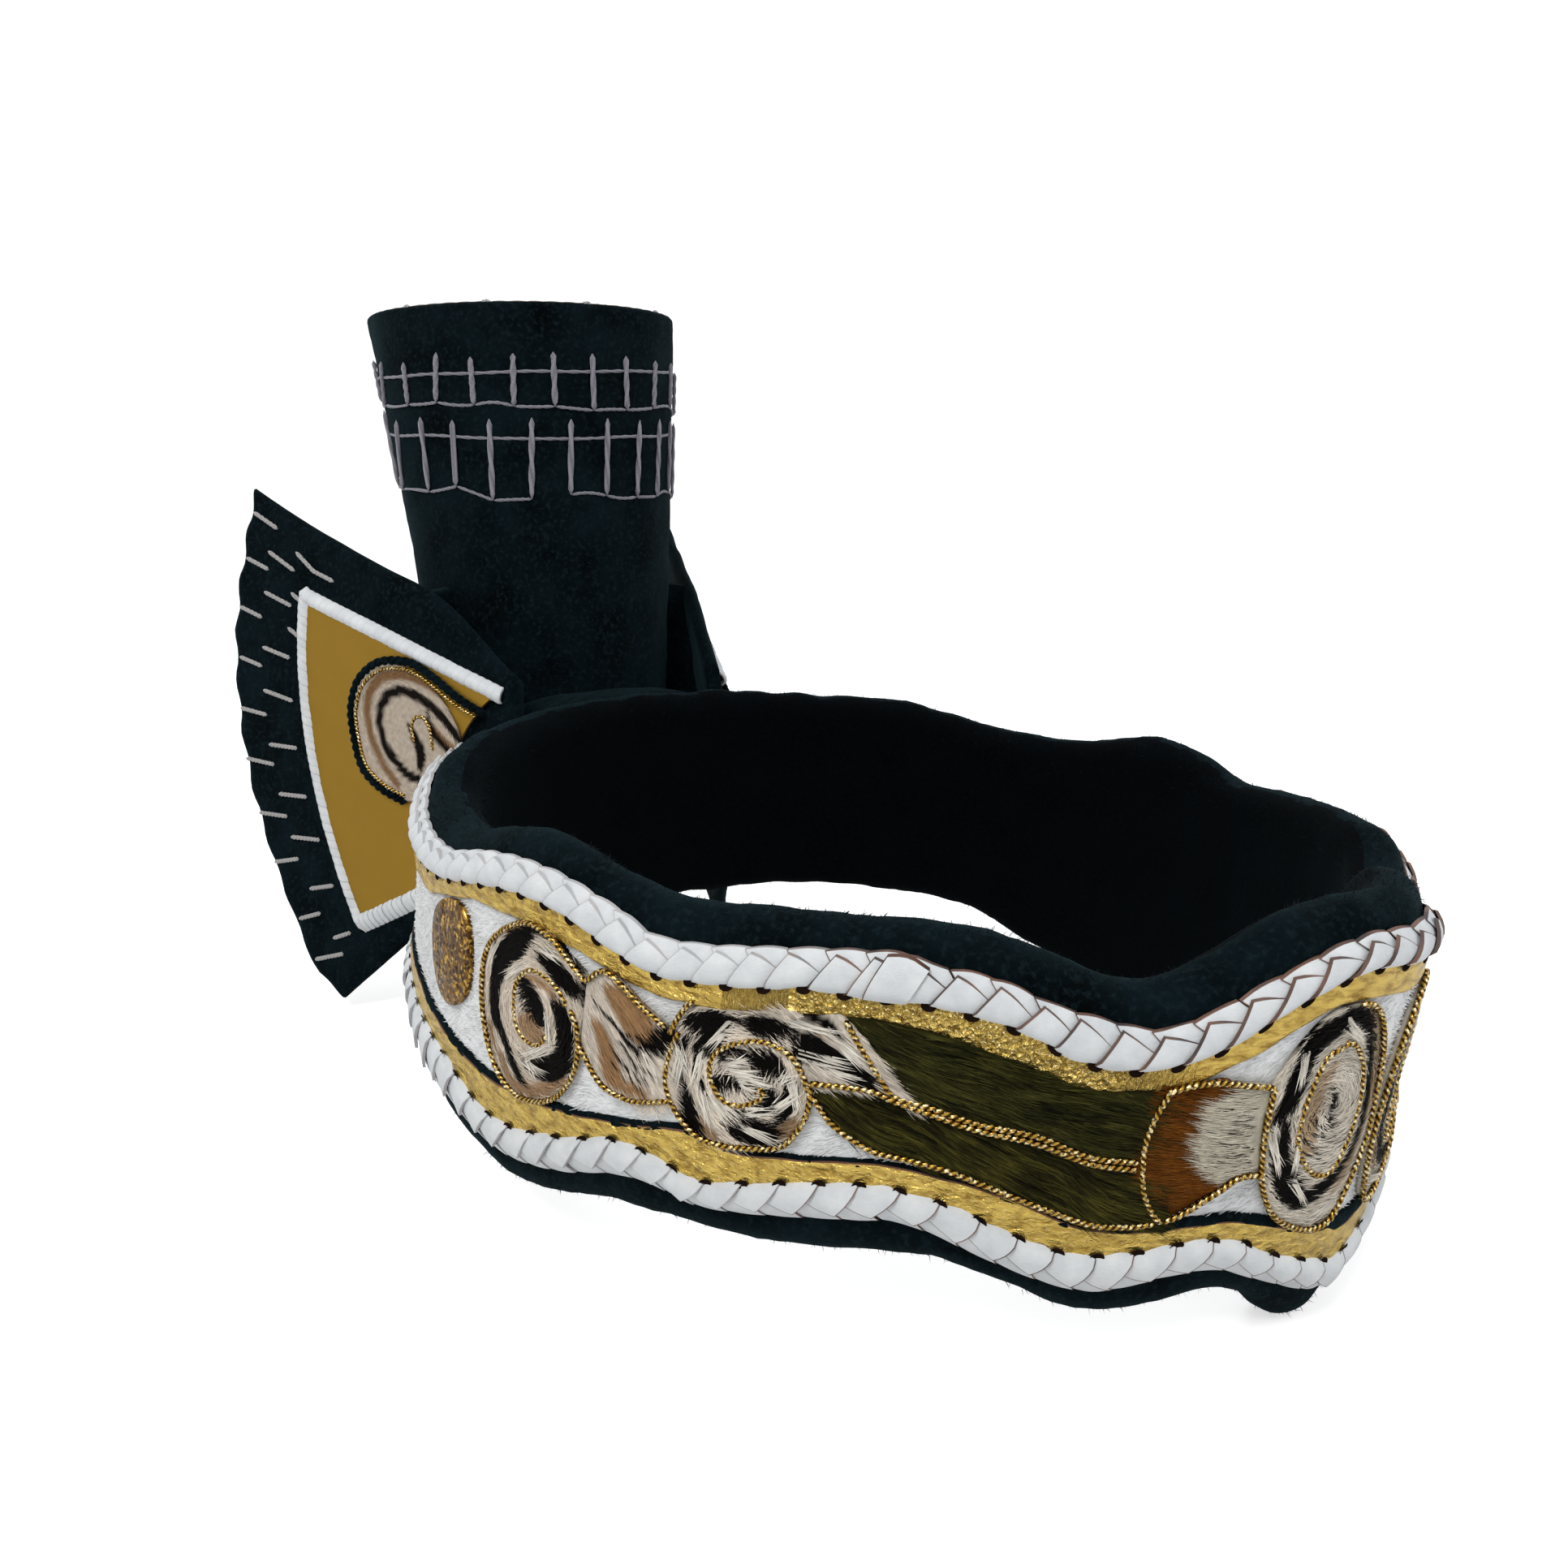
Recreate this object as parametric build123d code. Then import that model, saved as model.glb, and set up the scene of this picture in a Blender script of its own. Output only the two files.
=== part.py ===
from build123d import *
import os
import numpy as np

# A ceremonial head ring of padded velvet, front at -Y, with a fur and gilt leather panel
# round its outside, and a feather tube between two fans at its back. Sizes in millimetres.

# Padded velvet ring, an oval a little wider behind the ears and pointed at its front
head_length = 190.0
head_width = 162.0
wall = 11.0
egg = 0.12
beak = 0.2
beak_power = 12
roll_height = 5.5
velvet_above = 3.8
velvet_below = 7.6

# Panel round the outside of the ring
band_height = 50.0
panel_end = 160.0
ground_thick = 1.2
gold_thick = 1.0
gold_top_width = 4.6
gold_bottom_width = 4.0
braid_top_width = 5.2
braid_bottom_width = 6.4
braid_thick = 3.6
braid_pass_length = 6.2
braid_tooth = 0.5
fur_thick = 1.4
fur_edge = 0.7
seat = 0.3

# Feather tube behind the ring, open at the top
tube_rim_radius = 42.2
tube_foot_radius = 30.4
tube_wall = 2.0
tube_foot_level = -14.0
tube_rim_level = 107.0
tube_clearance = 5.0
tube_foot_back = head_length / 2 + wall + tube_clearance + tube_foot_radius
tube_lean = 0.3
tube_rim_slope = -0.14

# Velvet fans at both sides of the tube, with their upper side raised above a straight line
# by some millimetres at each quarter of its length
fan_thick = 4.4
fan_inset = 13.4
fan_start = head_length / 2 + wall - fan_inset
fan_side_inset = 56.0
fan_aside = head_width / 2 - fan_side_inset
fan_sweep = 64.0
fan_lean = 0.45
fan_root = 16.2
fan_root_slant = 3.5
fan_root_height = 40.0
fan_root_level = 2.0
fan_centre = 9.4
fan_level = -11.0
fan_reach = 103.5
fan_spread = 38.0
fan_tip = 4.0
fan_raise = (0.0, 6.5, 3.8, 1.2, 0.0)

# Gold leather sector on each fan, with lacing on three sides and a fur scroll
sector_centre = -35.6
sector_level = 7.8
sector_reach_up = 119.5
sector_reach_down = 130.0
sector_root_up = 54.0
sector_root_down = 92.0
sector_up = 12.0
sector_down = 28.5
fan_braid_width = 4.0
fan_braid_thick = 2.4
scroll_centre = 50.0
scroll_radius = 18.5

# Velvet knot between the ring, the tube and the fans
knot_width = 56.0
knot_top_height = 14.0
knot_foot_height = -10.0

# Rows: degrees from the front, panel's top edge, panel's bottom edge,
# both as shares of band_height above and below the ring's level line
edge_rows = (
    (0, 0.79, 0.53),
    (15, 0.76, 0.33),
    (30, 0.52, 0.385),
    (45, 0.62, 0.26),
    (60, 0.565, 0.365),
    (75, 0.47, 0.45),
    (90, 0.505, 0.63),
    (105, 0.34, 0.62),
    (120, 0.29, 0.53),
    (135, 0.33, 0.55),
    (150, 0.31, 0.58),
    (165, 0.31, 0.62),
    (180, 0.31, 0.64),
)

# Fur pieces with a round outline: degrees from the front, and share of the fur field's height
round_outlines = {
    "gold_oval": ((102.0, 0.94), (105.6, 0.80), (106.8, 0.58), (105.2, 0.36), (102.2, 0.27),
                  (99.4, 0.36), (97.8, 0.60), (99.0, 0.82)),
    "scroll_a": ((87.0, 0.97), (92.0, 0.85), (94.2, 0.64), (93.8, 0.44), (92.4, 0.28), (90.4, 0.14),
                 (87.4, 0.07), (84.0, 0.08), (81.6, 0.16), (80.2, 0.33), (79.9, 0.50), (80.3, 0.72),
                 (82.4, 0.93)),
    "scroll_b": ((69.6, 0.75), (70.0, 0.44), (68.8, 0.24), (66.4, 0.10), (62.5, 0.05), (59.2, 0.10),
                 (57.8, 0.26), (57.5, 0.44), (58.0, 0.62), (59.4, 0.80), (61.2, 0.95), (64.8, 0.96),
                 (68.4, 0.95)),
    "rust_fur": ((27.1, 0.94), (28.0, 0.75), (28.1, 0.55), (27.5, 0.30), (26.4, 0.12), (25.0, 0.04),
                 (22.9, 0.08), (22.5, 0.30), (22.4, 0.50), (22.4, 0.70), (22.7, 0.90), (25.0, 0.96)),
    "cream_fur": ((21.8, 0.88), (20.0, 0.82), (18.2, 0.75), (17.0, 0.70), (16.8, 0.50), (16.8, 0.28),
                  (18.0, 0.22), (19.8, 0.16), (21.6, 0.10), (21.9, 0.30), (21.9, 0.60)),
    "scroll_c": ((16.0, 0.66), (15.9, 0.38), (14.9, 0.20), (12.4, 0.06), (9.2, 0.03), (5.6, 0.04),
                 (3.0, 0.11), (1.1, 0.30), (0.7, 0.55), (1.3, 0.74), (3.2, 0.88), (5.5, 0.96),
                 (7.8, 0.96), (10.2, 0.93), (12.8, 0.87), (14.6, 0.78)),
}

# Fur pieces that run along the panel: a lower and an upper edge, in the same two columns
strip_outlines = {
    "link_fur": (((79.1, 0.46), (76.8, 0.29), (73.8, 0.22), (70.9, 0.29)),
                 ((79.4, 0.95), (77.4, 0.95), (75.2, 0.92), (70.6, 0.78))),
    "leaf_fur": (((56.7, 0.58), (55.0, 0.55), (53.0, 0.56), (51.4, 0.60)),
                 ((60.2, 0.96), (57.5, 0.96), (54.9, 0.94), (51.6, 0.68))),
    "green_upper": (((50.4, 0.60), (48.2, 0.52), (45.6, 0.49), (41.8, 0.49), (37.8, 0.53), (33.4, 0.53),
                     (29.2, 0.51)),
                    ((53.4, 0.95), (49.8, 0.96), (45.8, 0.96), (41.6, 0.96), (37.0, 0.96), (32.6, 0.96),
                     (28.1, 0.96))),
    "green_lower": (((56.0, 0.42), (53.8, 0.26), (51.0, 0.12), (47.4, 0.07), (42.6, 0.05), (37.8, 0.04),
                     (32.6, 0.04), (27.1, 0.04)),
                    ((56.4, 0.49), (53.4, 0.50), (50.0, 0.48), (46.6, 0.44), (42.2, 0.43), (38.0, 0.47),
                     (33.4, 0.47), (28.9, 0.45))),
}

ring_step = 5.0
panel_step = 4.0
around_pad = 20
around_tube = 36


# Smooth curve through evenly spaced rows, mirrored at both ends (Catmull-Rom)
def through_rows(values, place):
    last = len(values) - 1
    k = np.clip(np.floor(place).astype(int), 0, last - 1)
    f = place - k
    a = values[np.abs(k - 1)]
    b = values[k]
    c = values[k + 1]
    d = values[np.where(k + 2 > last, 2 * last - k - 2, k + 2)]
    return b + 0.5 * f * (c - a + f * (2 * a - 5 * b + 4 * c - d + f * (3 * b - a - 3 * c + d)))


# Share in one column of edge_rows at some degrees from the front
def edge_share(deg, column):
    rows = np.array(edge_rows)
    turn = np.mod(np.abs(deg), 360.0)
    turn = np.where(turn > 180.0, 360.0 - turn, turn)
    return through_rows(rows[:, column], turn / (rows[1, 0] - rows[0, 0]))


# Levels of the panel's top edge and bottom edge at some degrees from the front
def panel_top(deg):
    return band_height * edge_share(deg, 1)


def panel_bottom(deg):
    return -band_height * edge_share(deg, 2)


# Levels of the panel's ground, inside the two braids
def ground_top(deg):
    return panel_top(deg) - braid_top_width - seat


def ground_bottom(deg):
    return panel_bottom(deg) + braid_bottom_width + seat


# Point at some degrees from the front, out from the ring's outer face, at a level
def ring_point(deg, out, level):
    t = np.radians(deg)
    half_x = (head_width + wall) / 2
    half_y = (head_length + wall) / 2
    ahead = np.maximum(np.cos(t), 0.0)
    narrow = 1 - egg * np.cos(t) - beak * ahead ** beak_power
    x = half_x * np.sin(t) * narrow
    y = -half_y * np.cos(t)
    widen = (egg + beak * beak_power * ahead ** (beak_power - 1)) * np.sin(t)
    run_x = half_x * (np.cos(t) * narrow + np.sin(t) * widen)
    run_y = half_y * np.sin(t)
    length = np.hypot(run_x, run_y)
    off = wall / 2 + out
    return np.stack(np.broadcast_arrays(x + off * run_y / length, y - off * run_x / length, level), -1)


# Lower and upper levels of the fur field, between the two gold borders
def field_level(deg, share):
    low = ground_bottom(deg) + gold_bottom_width + seat
    high = ground_top(deg) - gold_top_width - seat
    return low + (high - low) * share


# Point in a fan's own sheet: along it, up it, and out of its front face; side is -1 or 1
def fan_point(along, up, out, side):
    turn = np.radians(fan_sweep)
    run = np.array([side * np.cos(turn), np.sin(turn), 0.0])
    rise = np.array([0.0, fan_lean, 1.0])
    face = np.cross(run, rise)
    face *= -np.sign(face[1]) / np.linalg.norm(face)
    along, up, out = np.broadcast_arrays(along, up, out)
    start = np.array([side * fan_aside, fan_start, 0.0])
    return start + along[..., None] * run + up[..., None] * rise + (out + fan_thick / 2)[..., None] * face


# Two triangles for each cell of a grid of point numbers
def cells(numbers):
    a, b = numbers[:-1, :-1], numbers[1:, :-1]
    c, d = numbers[1:, 1:], numbers[:-1, 1:]
    return np.concatenate([np.stack([a, b, c], -1).reshape(-1, 3), np.stack([a, c, d], -1).reshape(-1, 3)])


# Closed skin over a row of sections with as many points each, joined end to end or capped
def swept(sections, closed):
    count, size = sections.shape[:2]
    numbers = np.arange(count * size).reshape(count, size)
    loop = np.concatenate([numbers, numbers[:, :1]], 1)
    if closed:
        faces = cells(np.concatenate([loop, loop[:1]], 0))
    else:
        half = size // 2
        ends = []
        for number, flip in ((0, -1), (count - 1, 1)):
            row = numbers[number]
            pair = np.stack([row[:half], row[::-1][:half]])
            ends.append(cells(pair)[:, ::flip])
        faces = np.concatenate([cells(loop)] + ends)
    return sections.reshape(-1, 3), faces


# A pad over a flat or curved ground: front and back grids of points with the same outline
def slab(front, back):
    return swept(np.concatenate([front, back[:, ::-1]], 1), False)


# A pad with a round outline: rings of points about a middle, for the front and the back
def round_slab(place, outline, middle, height, crown):
    shares = (0.5, 1.0)
    points = [place(middle[0], middle[1], height + crown)[None], place(middle[0], middle[1], height)[None]]
    for out_side in (True, False):
        for share in shares:
            spot = middle + (outline - middle) * share
            rise = (crown if share < 1 else fur_edge) if out_side else 0.0
            points.append(place(spot[:, 0], spot[:, 1], height + rise))
    count = len(outline)
    ring = [2 + count * k + np.arange(count + 1) % count for k in range(4)]
    faces = [cells(np.stack([ring[0], ring[1]])), cells(np.stack([ring[1], ring[3]])),
             cells(np.stack([ring[3], ring[2]]))]
    for pole, edge in ((0, ring[0]), (1, ring[2])):
        fan = np.stack([np.full(count, pole), edge[:-1], edge[1:]], -1)
        faces.append(fan if pole == 0 else fan[:, ::-1])
    return np.concatenate(points), np.concatenate(faces)


# Closed smooth outline through a few points, as evenly numbered points
def smooth_outline(points, count):
    points = np.array(points, float)
    size = len(points)
    place = np.arange(count) * size / count
    k = np.floor(place).astype(int)
    f = (place - k)[:, None]
    a, b, c, d = (points[(k + step) % size] for step in (-1, 0, 1, 2))
    return b + 0.5 * f * (c - a + f * (2 * a - 5 * b + 4 * c - d + f * (3 * b - a - 3 * c + d)))


# Open smooth line through a few points
def smooth_line(points, count):
    points = np.array(points, float)
    place = np.linspace(0, len(points) - 1, count)
    padded = np.concatenate([2 * points[:1] - points[1:2], points, 2 * points[-1:] - points[-2:-1]])
    k = np.minimum(np.floor(place).astype(int), len(points) - 2)
    f = (place - k)[:, None]
    a, b, c, d = (padded[k + step] for step in (0, 1, 2, 3))
    return b + 0.5 * f * (c - a + f * (2 * a - 5 * b + 4 * c - d + f * (3 * b - a - 3 * c + d)))


# Padded ring: straight walls with a rolled top and a rolled bottom
def head_ring():
    deg = np.arange(0, 360, ring_step)[:, None]
    roll = np.radians(np.linspace(0, 180, 5))[None]
    top = panel_top(deg) + velvet_above
    bottom = panel_bottom(deg) - velvet_below
    out = wall / 2 * (np.cos(roll) - 1)
    upper = ring_point(deg, out, top - roll_height + roll_height * np.sin(roll))
    lower = ring_point(deg, out[:, ::-1], bottom + roll_height - roll_height * np.sin(roll))
    return swept(np.concatenate([upper, lower], 1), True)


# A flat strip round the ring between two levels and two distances from its outer face
def panel_strip(low, high, inside, outside):
    deg = np.linspace(-panel_end, panel_end, round(2 * panel_end / panel_step) + 1)
    out = np.array([inside, inside, outside, outside])[None]
    level = np.stack([low(deg), high(deg), high(deg), low(deg)], -1)
    return swept(ring_point(deg[:, None], out, level), False)


# Lacing along one edge of the panel, with a tooth at each pass of the lace; inward is the way
# from the edge to the panel's middle, 1 up or -1 down
def panel_braid(edge, inward, width):
    girth = np.pi * (head_length + head_width + 2 * wall) / 2
    passes = round(girth * panel_end / 180 / braid_pass_length)
    deg = np.linspace(-panel_end, panel_end, 2 * passes + 1)
    tooth = np.where(np.arange(len(deg)) % 2 == 0, braid_tooth, 0.0)
    inner = edge(deg) + inward * (width - tooth)
    outer = edge(deg) + inward * tooth
    rise = np.array([0, 1, 1, 0])[None]
    across = np.array([0, 0.2, 0.8, 1])[None]
    level = inner[:, None] + (outer - inner)[:, None] * across
    return swept(ring_point(deg[:, None], seat + braid_thick * rise, level), False)


# A fur piece on the ground of the panel, on one side of the front
def panel_fur(name, side):
    height = 2 * seat + ground_thick

    def place(deg, share, out):
        return ring_point(side * deg, out, field_level(deg, share))

    if name in round_outlines:
        outline = smooth_outline(round_outlines[name], around_pad)
        return round_slab(place, outline, outline.mean(0), height, fur_thick)
    low, high = strip_outlines[name]
    count = len(low) + 1
    low, high = smooth_line(low, count), smooth_line(high, count)
    across = np.linspace(0, 1, 4)[None, :, None]
    spot = low[:, None] * (1 - across) + high[:, None] * across
    crown = np.array([fur_edge, fur_thick, fur_thick, fur_edge])[None]
    return slab(place(spot[..., 0], spot[..., 1], height + crown), place(spot[..., 0], spot[..., 1], height))


# Radius and middle of the feather tube at a share of its height
def tube_radius(share):
    return tube_foot_radius + (tube_rim_radius - tube_foot_radius) * share


def tube_point(turn, share, inside):
    level = tube_foot_level + (tube_rim_level - tube_foot_level) * share
    radius = np.maximum(tube_radius(share) - inside, 0.0)
    x = radius * np.sin(turn)
    depth = -radius * np.cos(turn)
    middle = tube_foot_back + tube_lean * (level - tube_foot_level)
    return np.stack(np.broadcast_arrays(x, middle + depth, level + tube_rim_slope * share * depth), -1)


def feather_tube():
    turn = np.radians(np.arange(0, 360, 360 / around_tube))
    floor = tube_wall / (tube_rim_level - tube_foot_level)
    profile = ((0.0, 0.0), (0.33, 0.0), (0.67, 0.0), (1.0, 0.0),
               (1.0, tube_wall), (0.67, tube_wall), (0.33, tube_wall), (floor, tube_wall))
    rows = [tube_point(turn, share, inside) for share, inside in profile]
    points = np.concatenate(rows + [tube_point(np.zeros(1), 0.0, tube_foot_radius),
                                    tube_point(np.zeros(1), floor, tube_radius(floor))])
    numbers = np.arange(len(rows) * around_tube).reshape(len(rows), around_tube)
    loop = np.concatenate([numbers, numbers[:, :1]], 1)
    foot, inner = len(points) - 2, len(points) - 1
    faces = [cells(loop)]
    for pole, edge, flip in ((foot, loop[0], 1), (inner, loop[-1], -1)):
        faces.append(np.stack([np.full(around_tube, pole), edge[:-1], edge[1:]], -1)[:, ::flip])
    return points, np.concatenate(faces)


# Velvet fan: from a short root to a rounded outer edge with two longer tips
def fan(side):
    across = np.linspace(-1, 1, 15)[:, None]
    along = np.linspace(0, 1, 5)[None]
    turn = np.radians(fan_spread) * across
    reach = fan_reach + fan_tip * across ** 4
    far_a = fan_centre + reach * np.cos(turn)
    far_b = fan_level + reach * np.sin(turn)
    a = fan_root - fan_root_slant * across
    b = fan_root_level + across * fan_root_height / 2
    a = a + (far_a - a) * along
    raised = through_rows(np.array(fan_raise), along * (len(fan_raise) - 1))
    b = b + (far_b - b) * along + raised * np.maximum(across, 0.0) ** 3
    return slab(fan_point(a, b, 0.0, side), fan_point(a, b, -fan_thick, side))


# Point of the gold sector: radius and turn about its own centre in the fan's sheet
def sector_point(reach, turn, out, side):
    return fan_point(sector_centre + reach * np.cos(turn), sector_level + reach * np.sin(turn), out, side)


# Radius of the sector's outer edge at a share of the way from its lower to its upper side
def sector_reach(share):
    return sector_reach_down + (sector_reach_up - sector_reach_down) * share


# Gold leather sector inside the lacing
def fan_gold(side):
    inset = fan_braid_width + 2 * seat
    share = np.linspace(0, 1, 9)[:, None]
    root = sector_root_down + (sector_root_up - sector_root_down) * share
    reach = root + (sector_reach(share) - inset - root) * np.linspace(0, 1, 4)[None]
    low = -np.radians(sector_down) + inset / reach
    high = np.radians(sector_up) - inset / reach
    turn = low + (high - low) * share
    return slab(sector_point(reach, turn, seat + gold_thick, side), sector_point(reach, turn, seat, side))


# Lacing on the sector's lower side, outer edge and upper side
def fan_braid(side):
    inset = fan_braid_width / 2
    low, high = -np.radians(sector_down), np.radians(sector_up)
    lower = np.linspace(sector_root_down, sector_reach_down - inset, 14)
    upper = np.linspace(sector_root_up, sector_reach_up - inset, 14)
    share = np.linspace(0, 1, 24)[1:-1]
    arc = low + (high - low) * share
    reach = sector_reach(share) - inset
    path = np.concatenate([
        np.stack([lower * np.cos(low), lower * np.sin(low) + inset], -1),
        np.stack([reach * np.cos(arc), reach * np.sin(arc)], -1),
        np.stack([upper * np.cos(high), upper * np.sin(high) - inset], -1)[::-1]])
    run = np.gradient(path, axis=0)
    normal = np.stack([-run[:, 1], run[:, 0]], -1) / np.linalg.norm(run, axis=1)[:, None]
    offset = np.array([-1, -0.6, 0.6, 1])[None, :, None] * inset
    spot = path[:, None] + normal[:, None] * offset
    out = seat + fan_braid_thick * np.array([0, 1, 1, 0])[None]
    return swept(fan_point(sector_centre + spot[..., 0], sector_level + spot[..., 1], out, side), False)


def fan_scroll(side):
    turn = np.linspace(0, 2 * np.pi, around_pad, endpoint=False)
    middle = np.array([scroll_centre, 0.0])
    outline = middle + scroll_radius * np.stack([np.cos(turn), np.sin(turn)], -1)
    height = 2 * seat + gold_thick
    return round_slab(lambda a, b, out: fan_point(a, b, out, side), outline, middle, height, fur_thick)


# Knot between the ring's back face and the front of the tube
def back_knot():
    level = np.linspace(knot_foot_height, knot_top_height, 5)[:, None]
    spread = np.arcsin(knot_width / 2 / tube_foot_radius)
    x = tube_foot_radius * np.sin(np.linspace(-spread, spread, 9))[None]
    half_x = (head_width + wall) / 2 * (1 + egg)
    deg = 180 - np.degrees(np.arcsin(x / (half_x + wall / 2)))
    front = ring_point(deg, seat, level)
    share = (level - tube_foot_level) / (tube_rim_level - tube_foot_level)
    radius = tube_radius(share) + 2 * seat
    middle = tube_foot_back + tube_lean * (level - tube_foot_level)
    depth = middle - np.sqrt(radius ** 2 - front[..., 0] ** 2)
    back = np.stack([front[..., 0], depth, front[..., 2]], -1)
    return slab(front, back)


# Turn about X that sets the front of the ring and the tips of the fans on one level
def resting_turn(front, back):
    low, high = -0.6, 0.6
    for step in range(50):
        turn = (low + high) / 2
        gap = [(points[:, 2] * np.cos(turn) + points[:, 1] * np.sin(turn)).min() for points in (front, back)]
        if gap[0] < gap[1]:
            high = turn
        else:
            low = turn
    return (low + high) / 2


# Solid from triangles, turned right side out
def solid_from(points, faces):
    corners = points[faces]
    volume = np.einsum("ij,ij->i", corners[:, 0], np.cross(corners[:, 1], corners[:, 2])).sum()
    if volume < 0:
        corners = corners[:, ::-1]
    return Solid(Shell([Face(Wire.make_polygon([Vector(*corner) for corner in face], close=True))
                        for face in corners]))


def main():
    outer = seat + ground_thick
    pieces = {
        "head_ring": head_ring(),
        "panel_ground": panel_strip(ground_bottom, ground_top, seat, outer),
        "gold_border_top": panel_strip(lambda deg: ground_top(deg) - gold_top_width, ground_top,
                                       outer + seat, outer + seat + gold_thick),
        "gold_border_bottom": panel_strip(ground_bottom, lambda deg: ground_bottom(deg) + gold_bottom_width,
                                          outer + seat, outer + seat + gold_thick),
        "braid_top": panel_braid(panel_top, -1, braid_top_width),
        "braid_bottom": panel_braid(panel_bottom, 1, braid_bottom_width),
        "back_knot": back_knot(),
        "feather_tube": feather_tube(),
    }
    for label, side in (("right", -1), ("left", 1)):
        for name in list(round_outlines) + list(strip_outlines):
            pieces[name + "_" + label] = panel_fur(name, side)
        pieces["fan_" + label] = fan(side)
        pieces["fan_gold_" + label] = fan_gold(side)
        pieces["fan_braid_" + label] = fan_braid(side)
        pieces["fan_scroll_" + label] = fan_scroll(side)

    turn = resting_turn(pieces["head_ring"][0], pieces["fan_right"][0])
    tilt = np.array([[1, 0, 0], [0, np.cos(turn), -np.sin(turn)], [0, np.sin(turn), np.cos(turn)]])
    everything = np.concatenate([points for points, faces in pieces.values()]) @ tilt.T
    low, high = everything.min(0), everything.max(0)
    base = np.array([(low[0] + high[0]) / 2, (low[1] + high[1]) / 2, low[2]])

    os.makedirs("parts", exist_ok=True)
    total = 0
    for name, (points, faces) in pieces.items():
        export_step(solid_from(points @ tilt.T - base, faces), "parts/" + name + ".step")
        total += len(faces)
    print("turn", round(float(np.degrees(turn)), 3), "base", np.round(base, 3), "triangles", total)


main()
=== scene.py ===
import math
import bmesh
import bpy
import mathutils
import numpy as np
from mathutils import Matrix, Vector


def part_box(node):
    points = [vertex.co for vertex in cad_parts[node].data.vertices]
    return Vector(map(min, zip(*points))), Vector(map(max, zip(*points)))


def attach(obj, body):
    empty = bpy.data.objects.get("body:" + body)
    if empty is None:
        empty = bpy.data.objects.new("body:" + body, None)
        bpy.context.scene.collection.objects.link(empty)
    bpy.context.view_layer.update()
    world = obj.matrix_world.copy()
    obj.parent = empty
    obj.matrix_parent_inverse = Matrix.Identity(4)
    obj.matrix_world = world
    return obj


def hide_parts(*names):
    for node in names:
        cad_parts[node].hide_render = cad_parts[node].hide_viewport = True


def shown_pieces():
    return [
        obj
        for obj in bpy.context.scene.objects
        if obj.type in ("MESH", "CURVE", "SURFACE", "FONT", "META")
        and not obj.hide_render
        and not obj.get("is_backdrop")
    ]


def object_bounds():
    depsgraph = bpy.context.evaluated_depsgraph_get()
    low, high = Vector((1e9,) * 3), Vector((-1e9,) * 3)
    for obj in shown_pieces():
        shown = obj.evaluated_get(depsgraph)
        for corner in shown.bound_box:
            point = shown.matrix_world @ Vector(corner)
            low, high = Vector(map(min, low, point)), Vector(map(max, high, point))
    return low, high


# A ceremonial headdress: a padded velvet ring with a fur and gilt panel, a feather tube and two fans.
# Shapes are worked out in millimetres in the ring's own frame (front at -Y), then settled on the floor.
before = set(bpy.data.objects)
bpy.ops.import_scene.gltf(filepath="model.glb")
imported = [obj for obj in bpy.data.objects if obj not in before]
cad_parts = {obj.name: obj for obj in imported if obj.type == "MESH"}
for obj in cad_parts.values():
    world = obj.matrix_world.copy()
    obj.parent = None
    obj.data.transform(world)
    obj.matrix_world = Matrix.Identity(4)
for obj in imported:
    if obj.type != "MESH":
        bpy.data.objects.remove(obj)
cadLow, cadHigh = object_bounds()
mm = 0.001
print("frame loaded")


# Catmull-Rom curve from b to c, at f from 0 to 1
def curveAt(a, b, c, d, f):
    return b + 0.5 * f * (c - a + f * (2 * a - 5 * b + 4 * c - d + f * (3 * b - a - 3 * c + d)))


# Smooth row of values through evenly spaced ones, mirrored at both ends
def throughRows(values, place):
    last = len(values) - 1
    k = np.clip(np.floor(place).astype(int), 0, last - 1)
    after = np.where(k + 2 > last, 2 * last - k - 2, k + 2)
    return curveAt(values[np.abs(k - 1)], values[k], values[k + 1], values[after], place - k)


# Smooth line through a few points, open or closed, as count points
def smoothLine(points, count, closed=False):
    points = np.array(points, float)
    size = len(points)
    if closed:
        place = np.arange(count + 1) * size / count
        k = np.floor(place).astype(int)
        rows = [points[(k + step) % size] for step in (-1, 0, 1, 2)]
    else:
        place = np.linspace(0, size - 1, count)
        padded = np.concatenate([2 * points[:1] - points[1:2], points, 2 * points[-1:] - points[-2:-1]])
        k = np.minimum(np.floor(place).astype(int), size - 2)
        rows = [padded[k + step] for step in (0, 1, 2, 3)]
    return curveAt(*rows, (place - k)[:, None])


def runLength(points):
    return np.concatenate([[0], np.cumsum(np.linalg.norm(np.diff(points, axis=0), axis=1))])


# Points at even steps along a line, by its running length
def evenLine(points, step):
    run = runLength(points)
    place = np.linspace(0, run[-1], max(int(round(run[-1] / step)), 4))
    return np.stack([np.interp(place, run, points[:, axis]) for axis in range(points.shape[1])], -1)


# Vectors made one long; a tiny length keeps the zero ones from dividing by nothing
def unit(vectors, tiny=0.0):
    return vectors / (np.linalg.norm(vectors, axis=-1, keepdims=True) + tiny)


# Smooth lumps: a sum of sine waves that run in random directions, each about size long, from -1 to 1
lumpy = {"waves": 7, "short": 0.6, "long": 1.5, "peak": 1.6}


def lumps(points, size, seed):
    draw = np.random.default_rng(seed)
    count = lumpy["waves"]
    way = unit(draw.normal(size=(count, points.shape[-1])))
    pace = 2 * np.pi / size * draw.uniform(lumpy["short"], lumpy["long"], count)
    start = draw.uniform(0, 2 * np.pi, count)
    total = sum(np.sin(points @ way[k] * pace[k] + start[k]) for k in range(count))
    return total / math.sqrt(count) / lumpy["peak"]


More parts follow.
